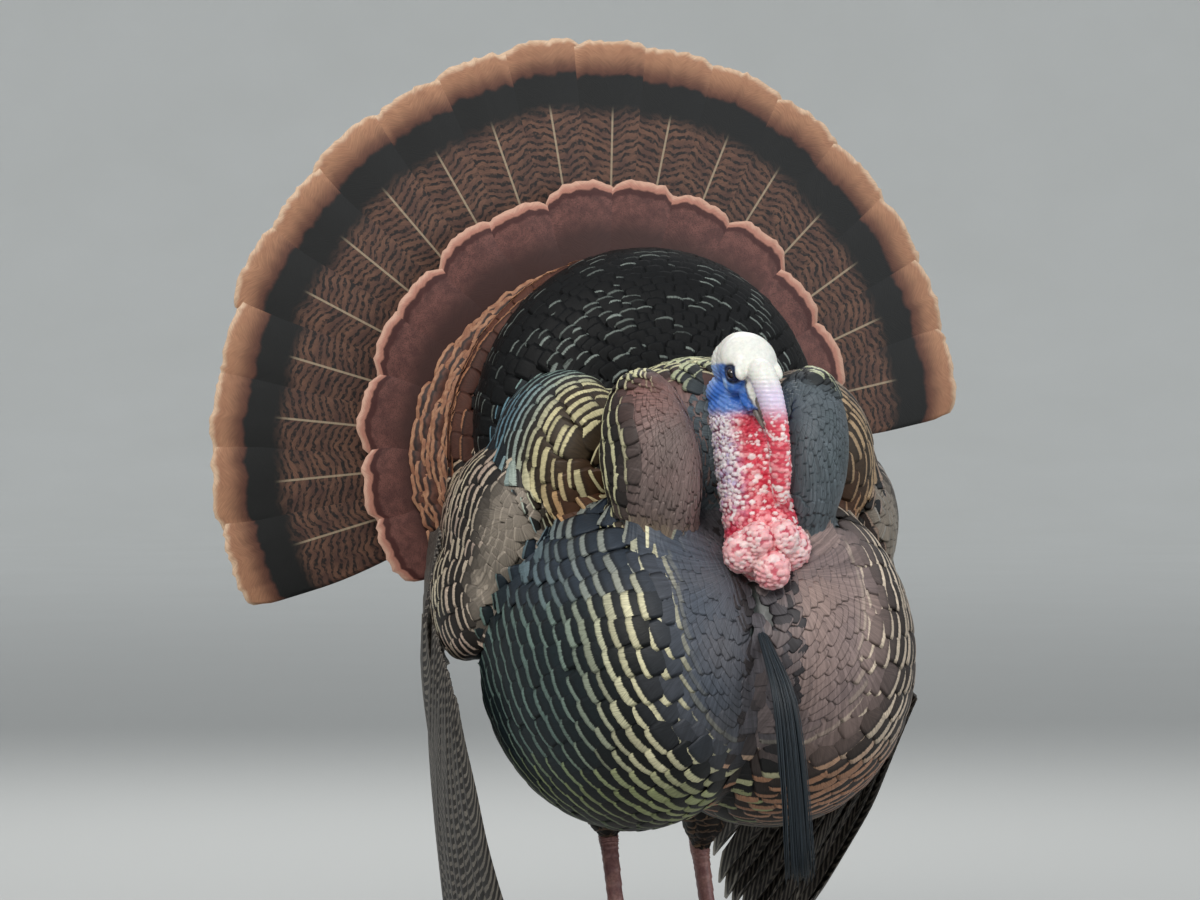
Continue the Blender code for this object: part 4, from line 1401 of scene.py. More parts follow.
def mantle_look(p, far):
    """Black, with the edges of a few feathers glinting."""
    glint = smoothstep(0.54, 0.60, noise3(p * np.array([1, 1, 1.6]), 60, 12))
    behind = smoothstep(0.06, 0.11, p[:, 1] - SHIFT.y)
    edge = layered(
        tone(13, 15, 17), (tone(122, 130, 124), glint), (tone(96, 62, 48), behind * 0.8))
    return {
        "length": 0.030, "half": 0.0102, "rise": 0.0034, "rim": 0.040 + 0.030 * glint,
        "bulk": 0.25, "base": many(tone(7, 8, 9), len(p)), "edge": edge, "dapple": 0.25,
    }


def rump_look(p, far):
    wave = noise3(p, 35, 6)
    return {
        "length": 0.034, "half": 0.0135, "rise": 0.0044, "rim": 0.075, "bulk": 0.4,
        "base": blend_colours(tone(58, 32, 26), tone(92, 54, 40), wave),
        "edge": blend_colours(tone(150, 100, 72), tone(184, 132, 98), wave),
    }


def undertail_look(p, far):
    """Rust with tan edges, darker towards the vent."""
    wave = noise3(p, 30, 5)
    dark = smoothstep(0.47, 0.40, p[:, 2])
    return {
        "length": 0.058, "half": 0.0200, "rise": 0.0090, "rim": 0.11,
        "base": layered(tone(62, 38, 32), (tone(98, 62, 48), wave), (SOOT, dark)),
        "edge": layered(tone(150, 100, 74), (tone(190, 140, 104), wave), (tone(84, 62, 48), dark)),
    }


def wing_look(side):
    """A plain patch of small coverts in front, barred ones round it."""
    def look(p, far):
        wave = noise3(p, 45, 14)
        inner = smoothstep(0.048, 0.030, far + 0.01 * (wave - 0.5))
        behind = smoothstep(0.00, 0.08, p[:, 1] - SHIFT.y)
        edge = layered(
            tone(206, 196, 168), (tone(190, 162, 150), wave), (tone(164, 152, 138), inner),
            (tone(134, 104, 78), behind * 0.8))
        if side == "left":
            edge = blend_colours(edge, tone(120, 124, 122), 0.5)
        return {
            "length": 0.034 - 0.012 * inner, "half": 0.0130 - 0.0052 * inner,
            "rise": 0.0060 - 0.0030 * inner, "rim": 0.165 - 0.06 * inner,
            "bulk": 0.7 - 0.5 * inner, "calm": inner,
            "base": blend_colours(tone(34, 28, 25), tone(134, 124, 112), inner),
            "edge": edge, "dapple": 0.12,
        }
    return look


def thigh_look(p, far):
    return {
        "length": 0.026, "half": 0.0090, "rise": 0.0045, "rim": 0.10,
        "base": many(tone(26, 22, 20), len(p)),
        "edge": blend_colours(tone(70, 54, 42), tone(108, 86, 66), noise3(p, 60, 15)),
    }


def build_body_coat(settings):
    rng = np.random.default_rng(settings.seed + 1)
    base = body_flesh(settings.coat_depth)
    base.name = "lie_of_the_coat"
    surface = Surface(base)
    barbs = once("Barbs", barb_group)
    bronze = contour_material("bronze body feather", barbs, 0.50, 0.15, 0.35), "bronze_plumage"
    black = contour_material("black back feather", barbs, 0.55, 0.0, 0.20), "black_plumage"
    rust = contour_material("rust tail covert", barbs, 0.60, 0.0, 0.30), "rust_plumage"
    broad = vane_template("broad vane", 8, 7, 0.07)
    short = vane_template("short vane", 5, 6, 0.10)
    close = 0.0058  # pitch of the breast's rows by the cleft
    for side, s in SIDES.items():
        wide = settings.row_pitch * (1.0 if side == "right" else 0.84)
        coat(
            f"coat_breast_{side}", surface, rng, "breast",
            (placed(0.006 + s * 0.002, -0.250, 0.470), placed(0.010 + s * 0.002, -0.282, 0.416)),
            *bronze, broad, breast_look(side, settings),
            ramp(close, (wide - close, 0.070, 0.112), (0.45 * wide, 0.24, 0.42)),
            ramp(0.0150, (0.0120, 0.070, 0.100)), side=side, slack=0.007, first=0.006,
        )
        coat(
            f"coat_shoulder_{side}", surface, rng, "shoulder",
            (placed(s * 0.088, -0.205, 0.548),), *bronze, broad, shoulder_look(side),
            0.0084, 0.0240, side=side, first=0.006, slack=0.014,
        )
        coat(
            f"coat_collar_{side}", surface, rng, "collar",
            (placed(s * 0.046, -0.262, 0.600),
             placed(-0.040 if side == "right" else 0.042, -0.270, 0.530)),
            *bronze, short, collar_look(side),
            ramp(0.0046, (0.0030, 0.055, 0.075)), ramp(0.0088, (0.0042, 0.055, 0.075)),
            side=side, slack=0.012, middle=-0.004,
        )
        coat(
            f"coat_wing_{side}", surface, rng, "wing",
            (placed(s * 0.166, -0.150, 0.500), placed(s * 0.176, -0.130, 0.430)),
            *bronze, broad, wing_look(side),
            ramp(0.0062, (0.0026, 0.038, 0.056)), ramp(0.0112, (0.0083, 0.038, 0.056)), side=side,
        )
        coat(
            f"coat_thigh_{side}", surface, rng, "thigh", (mirrored(HIP, side) + SHIFT,),
            *black, short, thigh_look, 0.0080, 0.0130, side=side,
            field=0.36 - surface.points[:, 2],
        )
    coat("coat_mantle", surface, rng, "mantle", (placed(0.0, -0.090, 0.560),), *black, short,
         mantle_look, 0.0074, 0.0148, anchor=UP)
    coat("coat_rump", surface, rng, "rump", (TAIL_ROOT + Vector((0, -0.06, 0)),), *rust, broad,
         rump_look, 0.0080, 0.0210, anchor=UP)
    coat("coat_undertail", surface, rng, "undertail", (placed(0.0, 0.170, 0.380),), *rust, broad,
         undertail_look, ramp(0.0070, (0.0080, 0.040, 0.100)),
         ramp(0.0180, (0.0140, 0.020, 0.070)), anchor=UP, slack=0.024)
    for spare in (base, broad, short):
        discard(spare)


# ---------------------------------------------------------------- long feathers
VANE_PLATE = 0.0007  # thickness of a long feather's vane


class Vanes:
    """Collects closed feather plates of one piece, with their own numbers."""

    def __init__(self):
        self.points, self.faces, self.rounded, self.bake = [], [], [], []
        self.numbers = {"from_tip": [], "aside": [], "grain": []}
        self.count = 0

    def add(self, top, bottom, from_tip, aside, grain, bake):
        """One feather: its sides are rows x columns x 3, from_tip and aside rows x columns."""
        rows, columns, _ = top.shape
        size = rows * columns
        upper = np.arange(size).reshape(rows, columns) + self.count
        lower = upper + size
        ring = np.concatenate([upper[0, :-1], upper[:-1, -1], upper[-1, :0:-1], upper[:0:-1, 0]])
        sheets = np.stack([
            [upper[:-1, :-1], upper[:-1, 1:], upper[1:, 1:], upper[1:, :-1]],
            [lower[1:, :-1], lower[1:, 1:], lower[:-1, 1:], lower[:-1, :-1]],
        ], axis=0)
        sheets = np.moveaxis(sheets, 1, -1).reshape(-1, 4)
        after = np.roll(ring, -1)
        rim = np.stack([after, ring, ring + size, after + size], -1)
        self.faces.append(np.vstack([sheets, rim]))
        self.rounded += [True] * len(sheets) + [False] * len(rim)
        self.points += [top.reshape(-1, 3), bottom.reshape(-1, 3)]
        for name, value in (("from_tip", from_tip), ("aside", aside)):
            self.numbers[name] += [value.reshape(-1)] * 2
        self.numbers["grain"].append(np.full(size * 2, grain))
        self.bake += [bake.reshape(-1, 2)] * 2
        self.count += size * 2

    def piece(self, name):
        mesh = bpy.data.meshes.new(name)
        mesh.from_pydata(np.vstack(self.points), [], np.vstack(self.faces))
        mesh.polygons.foreach_set("use_smooth", self.rounded)
        for key, values in self.numbers.items():
            add_numbers(mesh, key, np.concatenate(values))
        add_uv(mesh, "OFBake", np.vstack(self.bake)[corners_of(mesh)])
        mesh.validate()
        return link(name, mesh)


def plate(grid, shaft, aside):
    """Top and bottom of a vane: thin, with a raised quill along its middle."""
    normal = unit(np.cross(np.gradient(grid, axis=1), np.gradient(grid, axis=0)))
    quill = shaft * np.exp(-((aside / np.maximum(shaft * 1.3, 1e-5)) ** 2))
    top = grid + normal * (VANE_PLATE / 2 + quill * 0.5)[..., None]
    bottom = grid - normal * (VANE_PLATE / 2 + quill * 0.8)[..., None]
    return top, bottom


def strip(number, count, across):
    """Place across the bake map of one feather among many, side by side."""
    return (number + 0.08 + 0.84 * (across + 1) / 2) / count


def fan_axes():
    a = TAIL_ROLL
    return np.array([math.cos(a), 0, math.sin(a)]), np.array([-math.sin(a), 0, math.cos(a)])


FAN_INNER = 0.060  # how far from the fan's root its feathers set in


def fan_feathers(vanes, rng, count, spread, length, half_width, lean, forward, rows=34,
                 columns=24, tip_depth=0.011, step=0.0016, ragged=0.0022, cup=0.004,
                 loose=0.004, sway=0.25, top_trim=0.0):
    """Feathers that stand in a fan round the tail's root, the middle one in front."""
    sideways, up = fan_axes()
    back = np.array([0, 1, 0.0])
    v = np.linspace(0, 1, rows) ** 0.9
    u = np.linspace(-1, 1, columns)
    uu, vv = np.meshgrid(u, v)
    last = (count - 1) / 2
    for i in range(count):
        rank = i - last
        angle = math.radians(rank * (spread / (count - 1)) + rng.normal(0, sway))
        reach = length * (1 - 0.035 * (abs(rank) / last) ** 2) * (1 + rng.normal(0, loose))
        reach *= 1 - top_trim * math.cos(angle) ** 2
        out = (sideways * math.sin(angle) + up * math.cos(angle))
        out = out * math.cos(math.radians(lean)) + back * math.sin(math.radians(lean))
        across = sideways * math.cos(angle) - up * math.sin(angle)
        wide = half_width * (0.16 + 0.84 * smoothstep(0.0, 0.80, vv) ** 0.8)
        wide = wide * (1 - 0.07 * smoothstep(0.93, 1.0, vv))
        teeth = ragged * (sheet_noise(u * 9, i * 3.1, 0) - 0.5)
        tip = tip_depth * np.abs(uu) ** 3.2 - teeth[None, :] * 2
        radius = FAN_INNER + (reach - tip - FAN_INNER) * vv
        aside = uu * wide
        layer = step * abs(rank) + step * 0.9 * (uu * np.sign(rank) if rank else np.abs(uu) * 0.8)
        depth = -forward + layer * np.minimum(1, vv * 2.5) + cup * uu**2 * vv
        depth = depth + 0.0010 * (sheet_noise(uu * 2, vv * 5, i, 2) - 0.5) * vv
        grid = (np.array(TAIL_ROOT) + radius[..., None] * out + aside[..., None] * across
                + depth[..., None] * back)
        shaft = 0.0016 * (1 - 0.75 * vv) + 0.0002
        # The columns are turned round, so that the faces look out.
        grid, side_way = grid[:, ::-1], aside[:, ::-1]
        top, bottom = plate(grid, shaft, side_way)
        from_tip = (reach - tip - radius)[:, ::-1]
        bake = np.stack([strip(i, count, uu[:, ::-1]), 0.02 + 0.96 * vv], -1)
        vanes.add(top, bottom, from_tip, side_way, rng.random(), bake)


def feather_numbers(w, scale):
    """Inputs of a long feather's colours: from the tip, from the quill, broad and fine noise."""
    tip, aside, grain = (w.attribute(name, "Fac") for name in ("from_tip", "aside", "grain"))
    offside = w.maths("ABSOLUTE", aside)
    where = w.vector(w.product(aside, scale), w.product(tip, scale), w.product(grain, 53.0))
    # Barbs run out and towards the tip, so their streaks do too.
    slant = w.maths("MULTIPLY_ADD", tip, 1.0, w.product(offside, 0.8))
    along_barbs = w.vector(
        w.product(aside, 120.0), w.product(slant, 1100.0), w.product(grain, 31.0))
    return tip, offside, where, w.noise(where, 1.0, 3.0, 0.6), w.noise(along_barbs, 1.0)


def barbed(w, shader, colour, fine, low=0.80, high=1.18):
    """Feeds a long feather's colour and relief, streaked along its barbs."""
    w.shaded(shader, colour, w.step(0.2, 0.8, fine, low, high))
    w.relief(shader, fine, 0.4, 0.0006)


def tail_material(settings):
    """Barred brown feather with a black band and a buff tip, after its own numbers."""
    material, w, shader = new_material("barred tail feather", 0.60, 0.0)
    tip, offside, where, broad, fine = feather_numbers(w, 60.0)
    ripple = w.maths("MULTIPLY_ADD", broad, 0.016, w.maths("MULTIPLY_ADD", offside, 0.34, tip))
    wave = w.maths("SINE", w.product(ripple, 2 * math.pi / 0.0076))
    breakup = w.step(0.32, 0.60, w.noise(where, 5.0, 1.0))
    bars = w.product(w.step(-0.15, 0.40, wave), w.maths("MULTIPLY_ADD", breakup, 0.7, 0.3))
    clouds = w.step(0.3, 0.7, broad)
    mark = w.maths("MULTIPLY_ADD", broad, 0.010, tip)
    buff = w.layered(
        w.mix(clouds, tone(150, 102, 74), tone(178, 130, 96)),
        (tuple(settings.tip_colour), 0.5))
    buff = w.mix(w.step(0.014, 0.040, mark), buff, tone(84, 48, 36))
    buff = w.mix(w.step(0.0115, 0.0050, mark), buff, tone(222, 190, 160))
    colour = w.layered(
        w.mix(clouds, tone(80, 54, 46), tone(108, 76, 60)), (tone(24, 18, 17), bars),
        (tone(176, 158, 132), w.product(w.step(0.0014, 0.0007, offside), 0.75)),
        (tone(8, 10, 10), w.step(0.088, 0.068, mark)),
        (buff, w.step(0.0420, 0.0370, mark)))
    barbed(w, shader, colour, fine)
    return material


def covert_material():
    """Chestnut covert, finely peppered, with a pale tip and a dark line before it."""
    material, w, shader = new_material("chestnut tail covert", 0.58, 0.0)
    tip, _, where, broad, fine = feather_numbers(w, 90.0)
    pepper = w.product(w.step(0.50, 0.64, w.noise(where, 12.0)), 0.7)
    mark = w.maths("MULTIPLY_ADD", broad, 0.005, tip)
    line = w.product(w.step(0.0200, 0.0165, mark), w.step(0.0100, 0.0125, mark))
    pale = w.mix(w.step(0.009, 0.003, mark), tone(178, 122, 104), tone(212, 168, 146))
    colour = w.layered(
        w.mix(w.step(0.3, 0.7, broad), tone(92, 56, 52), tone(124, 80, 72)),
        (tone(52, 32, 32), pepper), (tone(66, 40, 36), w.step(0.030, 0.060, mark)),
        (tone(66, 28, 26), w.product(line, 0.85)), (pale, w.step(0.0125, 0.0100, mark)))
    barbed(w, shader, colour, fine, 0.86, 1.12)
    return material


def inner_covert_material():
    """Narrow rust covert with a thin tan tip, dark behind it."""
    material, w, shader = new_material("rust inner covert", 0.60, 0.0)
    tip, _, _, broad, fine = feather_numbers(w, 90.0)
    mark = w.maths("MULTIPLY_ADD", broad, 0.004, tip)
    edge = w.mix(w.step(0.35, 0.65, broad), tone(150, 100, 74), tone(186, 138, 106))
    gap = w.product(w.step(0.0095, 0.0075, mark), w.step(0.0052, 0.0066, mark))
    colour = w.layered(
        w.mix(w.step(0.3, 0.7, broad), tone(58, 34, 28), tone(104, 62, 46)),
        (edge, w.step(0.0062, 0.0044, mark)), (tone(22, 14, 13), w.product(gap, 0.8)))
    barbed(w, shader, colour, fine, 0.80, 1.16)
    return material


# Reach and number of feathers of each ring of inner coverts, from the back to the front.
INNER_RINGS = (
    (0.218, 27), (0.211, 30), (0.204, 28), (0.197, 29), (0.190, 27), (0.183, 28), (0.175, 26),
    (0.167, 27), (0.158, 25),
)


def build_tail(settings):
    rng = np.random.default_rng(settings.seed + 2)
    fan, coverts, inner = Vanes(), Vanes(), Vanes()
    fan_feathers(
        fan, rng, count=18, spread=184.0, length=0.417, half_width=0.0500, lean=3.0,
        forward=-0.0035)
    fan_feathers(
        coverts, rng, count=14, spread=196.0, length=0.270, half_width=0.0430, lean=1.0,
        forward=0.0120, rows=22, columns=18, tip_depth=0.017, step=0.0010, ragged=0.0024,
        cup=0.003, loose=0.020, sway=1.2)
    for ring, (reach, count) in enumerate(INNER_RINGS):
        fan_feathers(
            inner, rng, count=count, spread=206.0 + 3 * (ring % 2), length=reach,
            half_width=0.0225 - 0.0007 * ring, lean=1.5, forward=0.0150 + 0.0013 * ring,
            rows=11, columns=11, tip_depth=0.005, step=0.0002, ragged=0.0018, cup=0.0010,
            loose=0.010, sway=0.8, top_trim=0.13)
    finish_piece(fan.piece("tail_feathers"), tail_material(settings), "tail_feather",
                 "tail_fan", smooth=False)
    finish_piece(coverts.piece("tail_covert_feathers"), covert_material(), "rust_plumage",
                 "tail_coverts", smooth=False)
    finish_piece(inner.piece("inner_tail_coverts"), inner_covert_material(), "rust_plumage",
                 smooth=False)


ELBOW = Vector((0.178, 0.060, 0.490))
WRIST = Vector((0.232, -0.020, 0.400))
HAND_END = Vector((0.240, -0.118, 0.322))
DROOP = {"right": 6.0, "left": -6.0}  # degrees by which each wing hangs more or less
TIP_IN = {"right": 0.095, "left": 0.062}  # how far the outermost quill's tip is drawn in


def between(ends, t):
    return ends[0] + (ends[1] - ends[0]) * t


def wing_quills(vanes, rng, side, roots, headings, lengths, inward, count, half_width, band):
    """Flight feathers of one wing, each laid outside the next one back.

    headings and inward run from the first quill to the last, and lengths has a middle one too.
    """
    v = np.linspace(0, 1, 30) ** 0.92
    uu, vv = np.meshgrid(np.linspace(-1, 1, 14), v)
    flip = slice(None, None, 1 if side == "left" else -1)
    for i in range(count):
        middle = (i + 0.5) / count
        length = (1 - middle) * lengths[0] + middle * lengths[2]
        length += 4 * middle * (1 - middle) * (lengths[1] - (lengths[0] + lengths[2]) / 2)
        length *= 1 + rng.normal(0, 0.012)
        heading = math.radians(between(headings, middle) + DROOP[side] + rng.normal(0, 0.5))
        run = np.array([0, math.cos(heading), -math.sin(heading)])
        across = np.array([0, math.sin(heading), math.cos(heading)])
        root = np.array(roots[0].lerp(roots[1], middle))
        wide = half_width * (0.30 + 0.70 * smoothstep(0.0, 0.5, vv))
        wide = wide * (1 - 0.30 * smoothstep(0.80, 1.0, vv))
        tip = 0.030 * np.abs(uu) ** 2.4 + 0.003 * sheet_noise(uu * 6, 0, i)
        reach = (length - tip) * vv
        aside = uu * wide
        grid = root + reach[..., None] * run + aside[..., None] * across
        grid[..., 0] += 0.008 * np.sin(math.pi * vv)
        grid[..., 0] -= between(inward, middle) * vv
        grid[..., 0] += 0.0022 * uu * np.minimum(1, vv * 3) + 0.0025 * (1 - uu**2) * vv
        grid[..., 0] += 0.0016 * (sheet_noise(uu, vv * 4, i, 6) - 0.5)
        grid[..., 0] *= SIDES[side]
        grid = (grid + np.array(SHIFT))[:, flip]
        side_way = aside[:, flip]
        top, bottom = plate(grid, 0.0018 * (1 - 0.8 * vv) + 0.0002, side_way)
        bake = np.stack([strip(i, count, uu[:, flip]), between(band, vv)], -1)
        from_tip = (length - tip - reach)[:, flip]
        vanes.add(top, bottom, from_tip, side_way, rng.random(), bake)


def quill_material():
    """Flight feather barred with pale grey across brown-black."""
    material, w, shader = new_material("barred wing feather", 0.60, 0.0)
    tip, offside, _, broad, fine = feather_numbers(w, 70.0)
    slope = w.maths("MULTIPLY_ADD", offside, -0.55, tip)
    ripple = w.maths("MULTIPLY_ADD", broad, 0.010, slope)
    wave = w.maths("SINE", w.product(ripple, 2 * math.pi / 0.0115))
    bars = w.step(0.05, 0.55, w.maths("ADD", wave, w.maths("MULTIPLY_ADD", fine, 0.8, -0.4)))
    light = w.mix(broad, tone(88, 82, 76), tone(138, 131, 120))
    colour = w.layered(
        w.mix(broad, tone(22, 21, 20), tone(44, 39, 36)), (light, bars),
        (tone(38, 32, 29), w.product(w.step(0.0018, 0.0008, offside), 0.8)),
        (tone(176, 170, 158), w.product(w.step(0.007, 0.003, tip), 0.8)))
    barbed(w, shader, colour, fine, 0.78, 1.18)
    return material


def build_wings(settings):
    rng = np.random.default_rng(settings.seed + 3)
    barred = quill_material()
    for side in SIDES:
        wing = Vanes()
        wing_quills(
            wing, rng, side, (ELBOW + Vector((0.018, 0, 0)), WRIST + Vector((0.010, 0, 0))),
            headings=(20.0, 44.0), lengths=(0.170, 0.225, 0.265), inward=(0.045, 0.085),
            count=11, half_width=0.0270, band=(0.51, 0.99))
        wing_quills(
            wing, rng, side, (WRIST, HAND_END), headings=(50.0, 62.0),
            lengths=(0.350, 0.375, 0.285), inward=(0.080, TIP_IN[side]), count=10,
            half_width=0.0200, band=(0.01, 0.49))
        finish_piece(wing.piece(f"wing_quills_{side}"), barred, "wing_feather",
                     f"wing_secondaries_{side}", f"wing_primaries_{side}", smooth=False)


# ---------------------------------------------------------------- beard, eyes, bill, legs
class Tubes:
    """Collects closed tubes of one piece."""

    def __init__(self):
        self.points, self.faces, self.count = [], [], 0
        self.tints, self.maps = [], []

    def add(self, path, radii, around, ridge=None, flat=None, tint=1.0, up=UP, spot=None):
        """A tube: path n x 3, radii n or n x 2 (sideways, upwards), ridge(i, angle) in metres.

        flat is the lowest height that it keeps, and spot its place on the bake map.
        """
        path = np.asarray(path, float)
        radii = np.asarray(radii, float)
        if radii.ndim == 1:
            radii = np.stack([radii, radii], axis=1)
        n = len(path)
        ahead = unit(np.gradient(path, axis=0))
        top = np.tile(np.array(up, float), (n, 1))
        top = unit(top - ahead * (top * ahead).sum(axis=1, keepdims=True))
        aside = np.cross(ahead, top)
        a = np.linspace(0, 2 * math.pi, around, endpoint=False)
        extra = ridge(np.arange(n)[:, None], a[None, :]) if ridge else 0.0
        rx, rz = radii[:, :1] + extra, radii[:, 1:] + extra
        grid = (path[:, None] + aside[:, None] * (rx * np.cos(a))[..., None]
                + top[:, None] * (rz * np.sin(a))[..., None])
        rings = [grid.reshape(-1, 3), path[:1], path[-1:]]
        if flat is not None:
            rings = [np.maximum(ring, [[-9, -9, flat]]) for ring in rings]
        self.points += rings
        index = np.arange(n * around).reshape(n, around) + self.count
        after = np.roll(index, -1, axis=1)
        quads = np.stack([index[:-1], after[:-1], after[1:], index[1:]], -1).reshape(-1, 4)
        first, last = self.count + n * around, self.count + n * around + 1
        self.faces += quads.tolist()
        self.faces += [(first, b, a) for a, b in zip(index[0].tolist(), after[0].tolist())]
        self.faces += [(last, a, b) for a, b in zip(index[-1].tolist(), after[-1].tolist())]
        shade = np.ones((n, around, 3)) * tint
        self.tints += [shade.reshape(-1, 3), shade[0, :1], shade[-1, :1]]
        uv = np.stack(np.meshgrid(np.linspace(0, 1, around), np.linspace(0, 1, n)), -1)
        if spot is not None:
            uv = np.array(spot) + (uv - 0.5) * PATCH
        self.maps += [uv.reshape(-1, 2), uv[0, :1], uv[-1, :1]]
        self.count += n * around + 2

    def piece(self, name, bake=False):
        mesh = bpy.data.meshes.new(name)
        mesh.from_pydata(np.vstack(self.points), [], self.faces)
        add_colour(mesh, "tint", np.vstack(self.tints))
        if bake:
            add_uv(mesh, "OFBake", np.vstack(self.maps)[corners_of(mesh)])
        mesh.validate()
        bm = bmesh.new()
        bm.from_mesh(mesh)
        bmesh.ops.recalc_face_normals(bm, faces=bm.faces)
        bm.to_mesh(mesh)
        bm.free()
        return link(name, mesh)


BRISTLES = 210
BRISTLE_STEPS = 15


def build_beard(settings):
    rng = np.random.default_rng(settings.seed + 4)
    front = -0.340
    path, radii = curve_through(
        [placed(0.003, front + 0.050, 0.410), placed(0.004, front + 0.020, 0.382),
         placed(0.008, front - 0.012, 0.335), placed(0.014, front - 0.021, 0.255),
         placed(0.020, front - 0.020, 0.172)],
        [0.0030, 0.0060, 0.0110, 0.0135, 0.0150], BRISTLE_STEPS)
    along = np.linspace(0, 1, BRISTLE_STEPS)
    bristles = Tubes()
    for _ in range(BRISTLES):
        a = rng.uniform(0, 2 * math.pi)
        r = math.sqrt(rng.random())
        whole = rng.random() < 0.45
        end = BRISTLE_STEPS if whole else int(rng.integers(11, BRISTLE_STEPS + 1))
        offset = np.stack([math.cos(a) * r * radii[:, 0] * 1.05,
                           math.sin(a) * r * radii[:, 0] * 0.7, 0 * along], axis=1)
        drift = np.stack([rng.normal(0, 0.0012) * along**2, rng.normal(0, 0.0010) * along**2,
                          rng.normal(0, 0.004) * along], axis=1)
        shade = np.array(tone(38, 47, 54)) * (0.55 + 0.75 * rng.random())
        bristles.add(
            (path + offset + drift)[:end], np.linspace(0.00085, 0.00035, end), 4, tint=shade,
            up=BACK, spot=(0.5 + 0.45 * r * math.cos(a), 0.5 + 0.45 * r * math.sin(a)))
    material, w, shader = new_material("beard bristle", 0.42, 0.0)
    stretched = w.put("ShaderNodeMapping", {"Vector": w.place(), "Scale": (900.0, 900.0, 40.0)})
    fine = w.noise(stretched.outputs[0], 1.0)
    w.shaded(shader, w.attribute("tint"), w.step(0.25, 0.75, fine, 0.75, 1.25))
    finish_piece(bristles.piece("beard_bristles", bake=True), material, "beard_bristle", "beard")


def build_eyes():
    material, w, shader = new_material(
        "wet brown eye", 0.12, 0.0, Coat_Weight=1.0, Coat_Roughness=0.02, IOR=1.45)
    flecks = w.noise(w.place(), 2600.0)
    w.shaded(shader, w.attribute("tint"), w.step(0.2, 0.8, flecks, 0.7, 1.3))
    for side, s in SIDES.items():
        out, _, _ = eye_axes(s)
        bm = bmesh.new()
        bmesh.ops.create_icosphere(bm, subdivisions=5, radius=1.0)
        mesh = bpy.data.meshes.new("eyeball_" + side)
        bm.to_mesh(mesh)
        bm.free()
        p = points_of(mesh)
        ahead = p @ out
        bulge = 1 + 0.05 * smoothstep(0.80, 0.97, ahead)
        off = np.degrees(np.arccos(np.clip(ahead, -1, 1)))
        iris = blend_colours(tone(40, 24, 16), tone(70, 44, 28), smoothstep(26, 38, off) * 0.6)
        colour = layered(
            tone(3, 3, 4), (iris, smoothstep(23, 27, off)),
            (tone(16, 12, 12), smoothstep(38, 46, off)))
        ball = p * bulge[:, None] * EYE_RADIUS * 0.995
        set_points(mesh, head_world(ball + eye_place(s)))
        add_colour(mesh, "tint", colour)
        finish_piece(link("eyeball_" + side, mesh), material, "eye", "eye_" + side)


HORN_CLOUDS = 120.0  # scale of the noise that clouds horn


def horn_material(name, dark, light):
    material, w, shader = new_material(name, 0.38, 0.0)
    where = w.place()
    cloud = w.noise(where, HORN_CLOUDS, 4.0, 0.6)
    fine = w.noise(where, HORN_CLOUDS * 9)
    colour = w.mix(w.step(0.3, 0.7, cloud), dark, light)
    w.feed(shader.inputs["Base Color"], w.mix(0.8, colour, w.attribute("tint"), "MULTIPLY"))
    w.feed(shader.inputs["Roughness"], w.step(0.3, 0.7, fine, 0.32, 0.48))
    w.relief(shader, fine, 0.25, 0.0003)
    return material


def upper_ridge(i, a):
    """A ridge along the upper bill's middle, a hollow under it and two nostrils."""
    culmen = 0.0010 * np.exp(-(((a - math.pi / 2) / 0.35) ** 2))
    under = -0.0018 * smoothstep(0.2, 1.0, -np.sin(a))
    nostril = 0.0
    for centre in (0.62, math.pi - 0.62):
        nostril = nostril - 0.0022 * np.exp(
            -(((i - 12.5) / 3.0) ** 2) - (((a - centre) / 0.16) ** 2))
    return (culmen + under) * smoothstep(34, 24, i) + nostril


def build_bill():
    horn = horn_material("bill horn", tone(74, 68, 68), tone(132, 122, 114))
    upper = curve_through(
        [(0, -0.030, 0.0020), (0, -0.040, 0.0026), (0, -0.050, 0.0014), (0, -0.060, -0.0018),
         (0, -0.0695, -0.0075), (0, -0.0740, -0.0135)],
        [(0.0094, 0.0078), (0.0092, 0.0078), (0.0078, 0.0072), (0.0056, 0.0058),
         (0.0031, 0.0038), (0.0006, 0.0008)], 34)
    lower = curve_through(
        [(0, -0.032, -0.0088), (0, -0.044, -0.0096), (0, -0.056, -0.0110), (0, -0.0665, -0.0134)],
        [(0.0080, 0.0042), (0.0072, 0.0040), (0.0052, 0.0034), (0.0014, 0.0012)], 24)
    for node, (path, radii), around, ridge in (
        ("bill_upper", upper, 40, upper_ridge), ("bill_lower", lower, 32, None),
    ):
        bill = Tubes()
        bill.add(head_world(path), radii, around, ridge, up=HEAD.to_3x3() @ UP)
        finish_piece(bill.piece(node + "_horn"), horn, "horn", node)


# Heading in degrees outwards, length and thickness of each toe.
TOES = {
    "inner": (-34.0, 0.052, 0.0082),
    "middle": (2.0, 0.078, 0.0090),
    "outer": (36.0, 0.058, 0.0082),
    "hind": (172.0, 0.026, 0.0066),
}
CLAW_LENGTH = 0.017


def scutes(pitch, around_pitch, depth):
    """Overlapping plates: a ridge(i, angle) for tubes whose rings are 1 mm apart."""
    def ridge(i, a):
        front = smoothstep(-0.3, 0.3, np.sin(a))
        row = i / pitch
        plates = depth * ((row - np.floor(row)) ** 1.5) * front
        cells = np.abs(np.sin(math.pi * (row * 1.4 + 0.5 * np.floor(a * around_pitch)))
                       * np.sin(a * around_pitch))
        return plates + depth * 0.7 * cells * (1 - front)
    return ridge


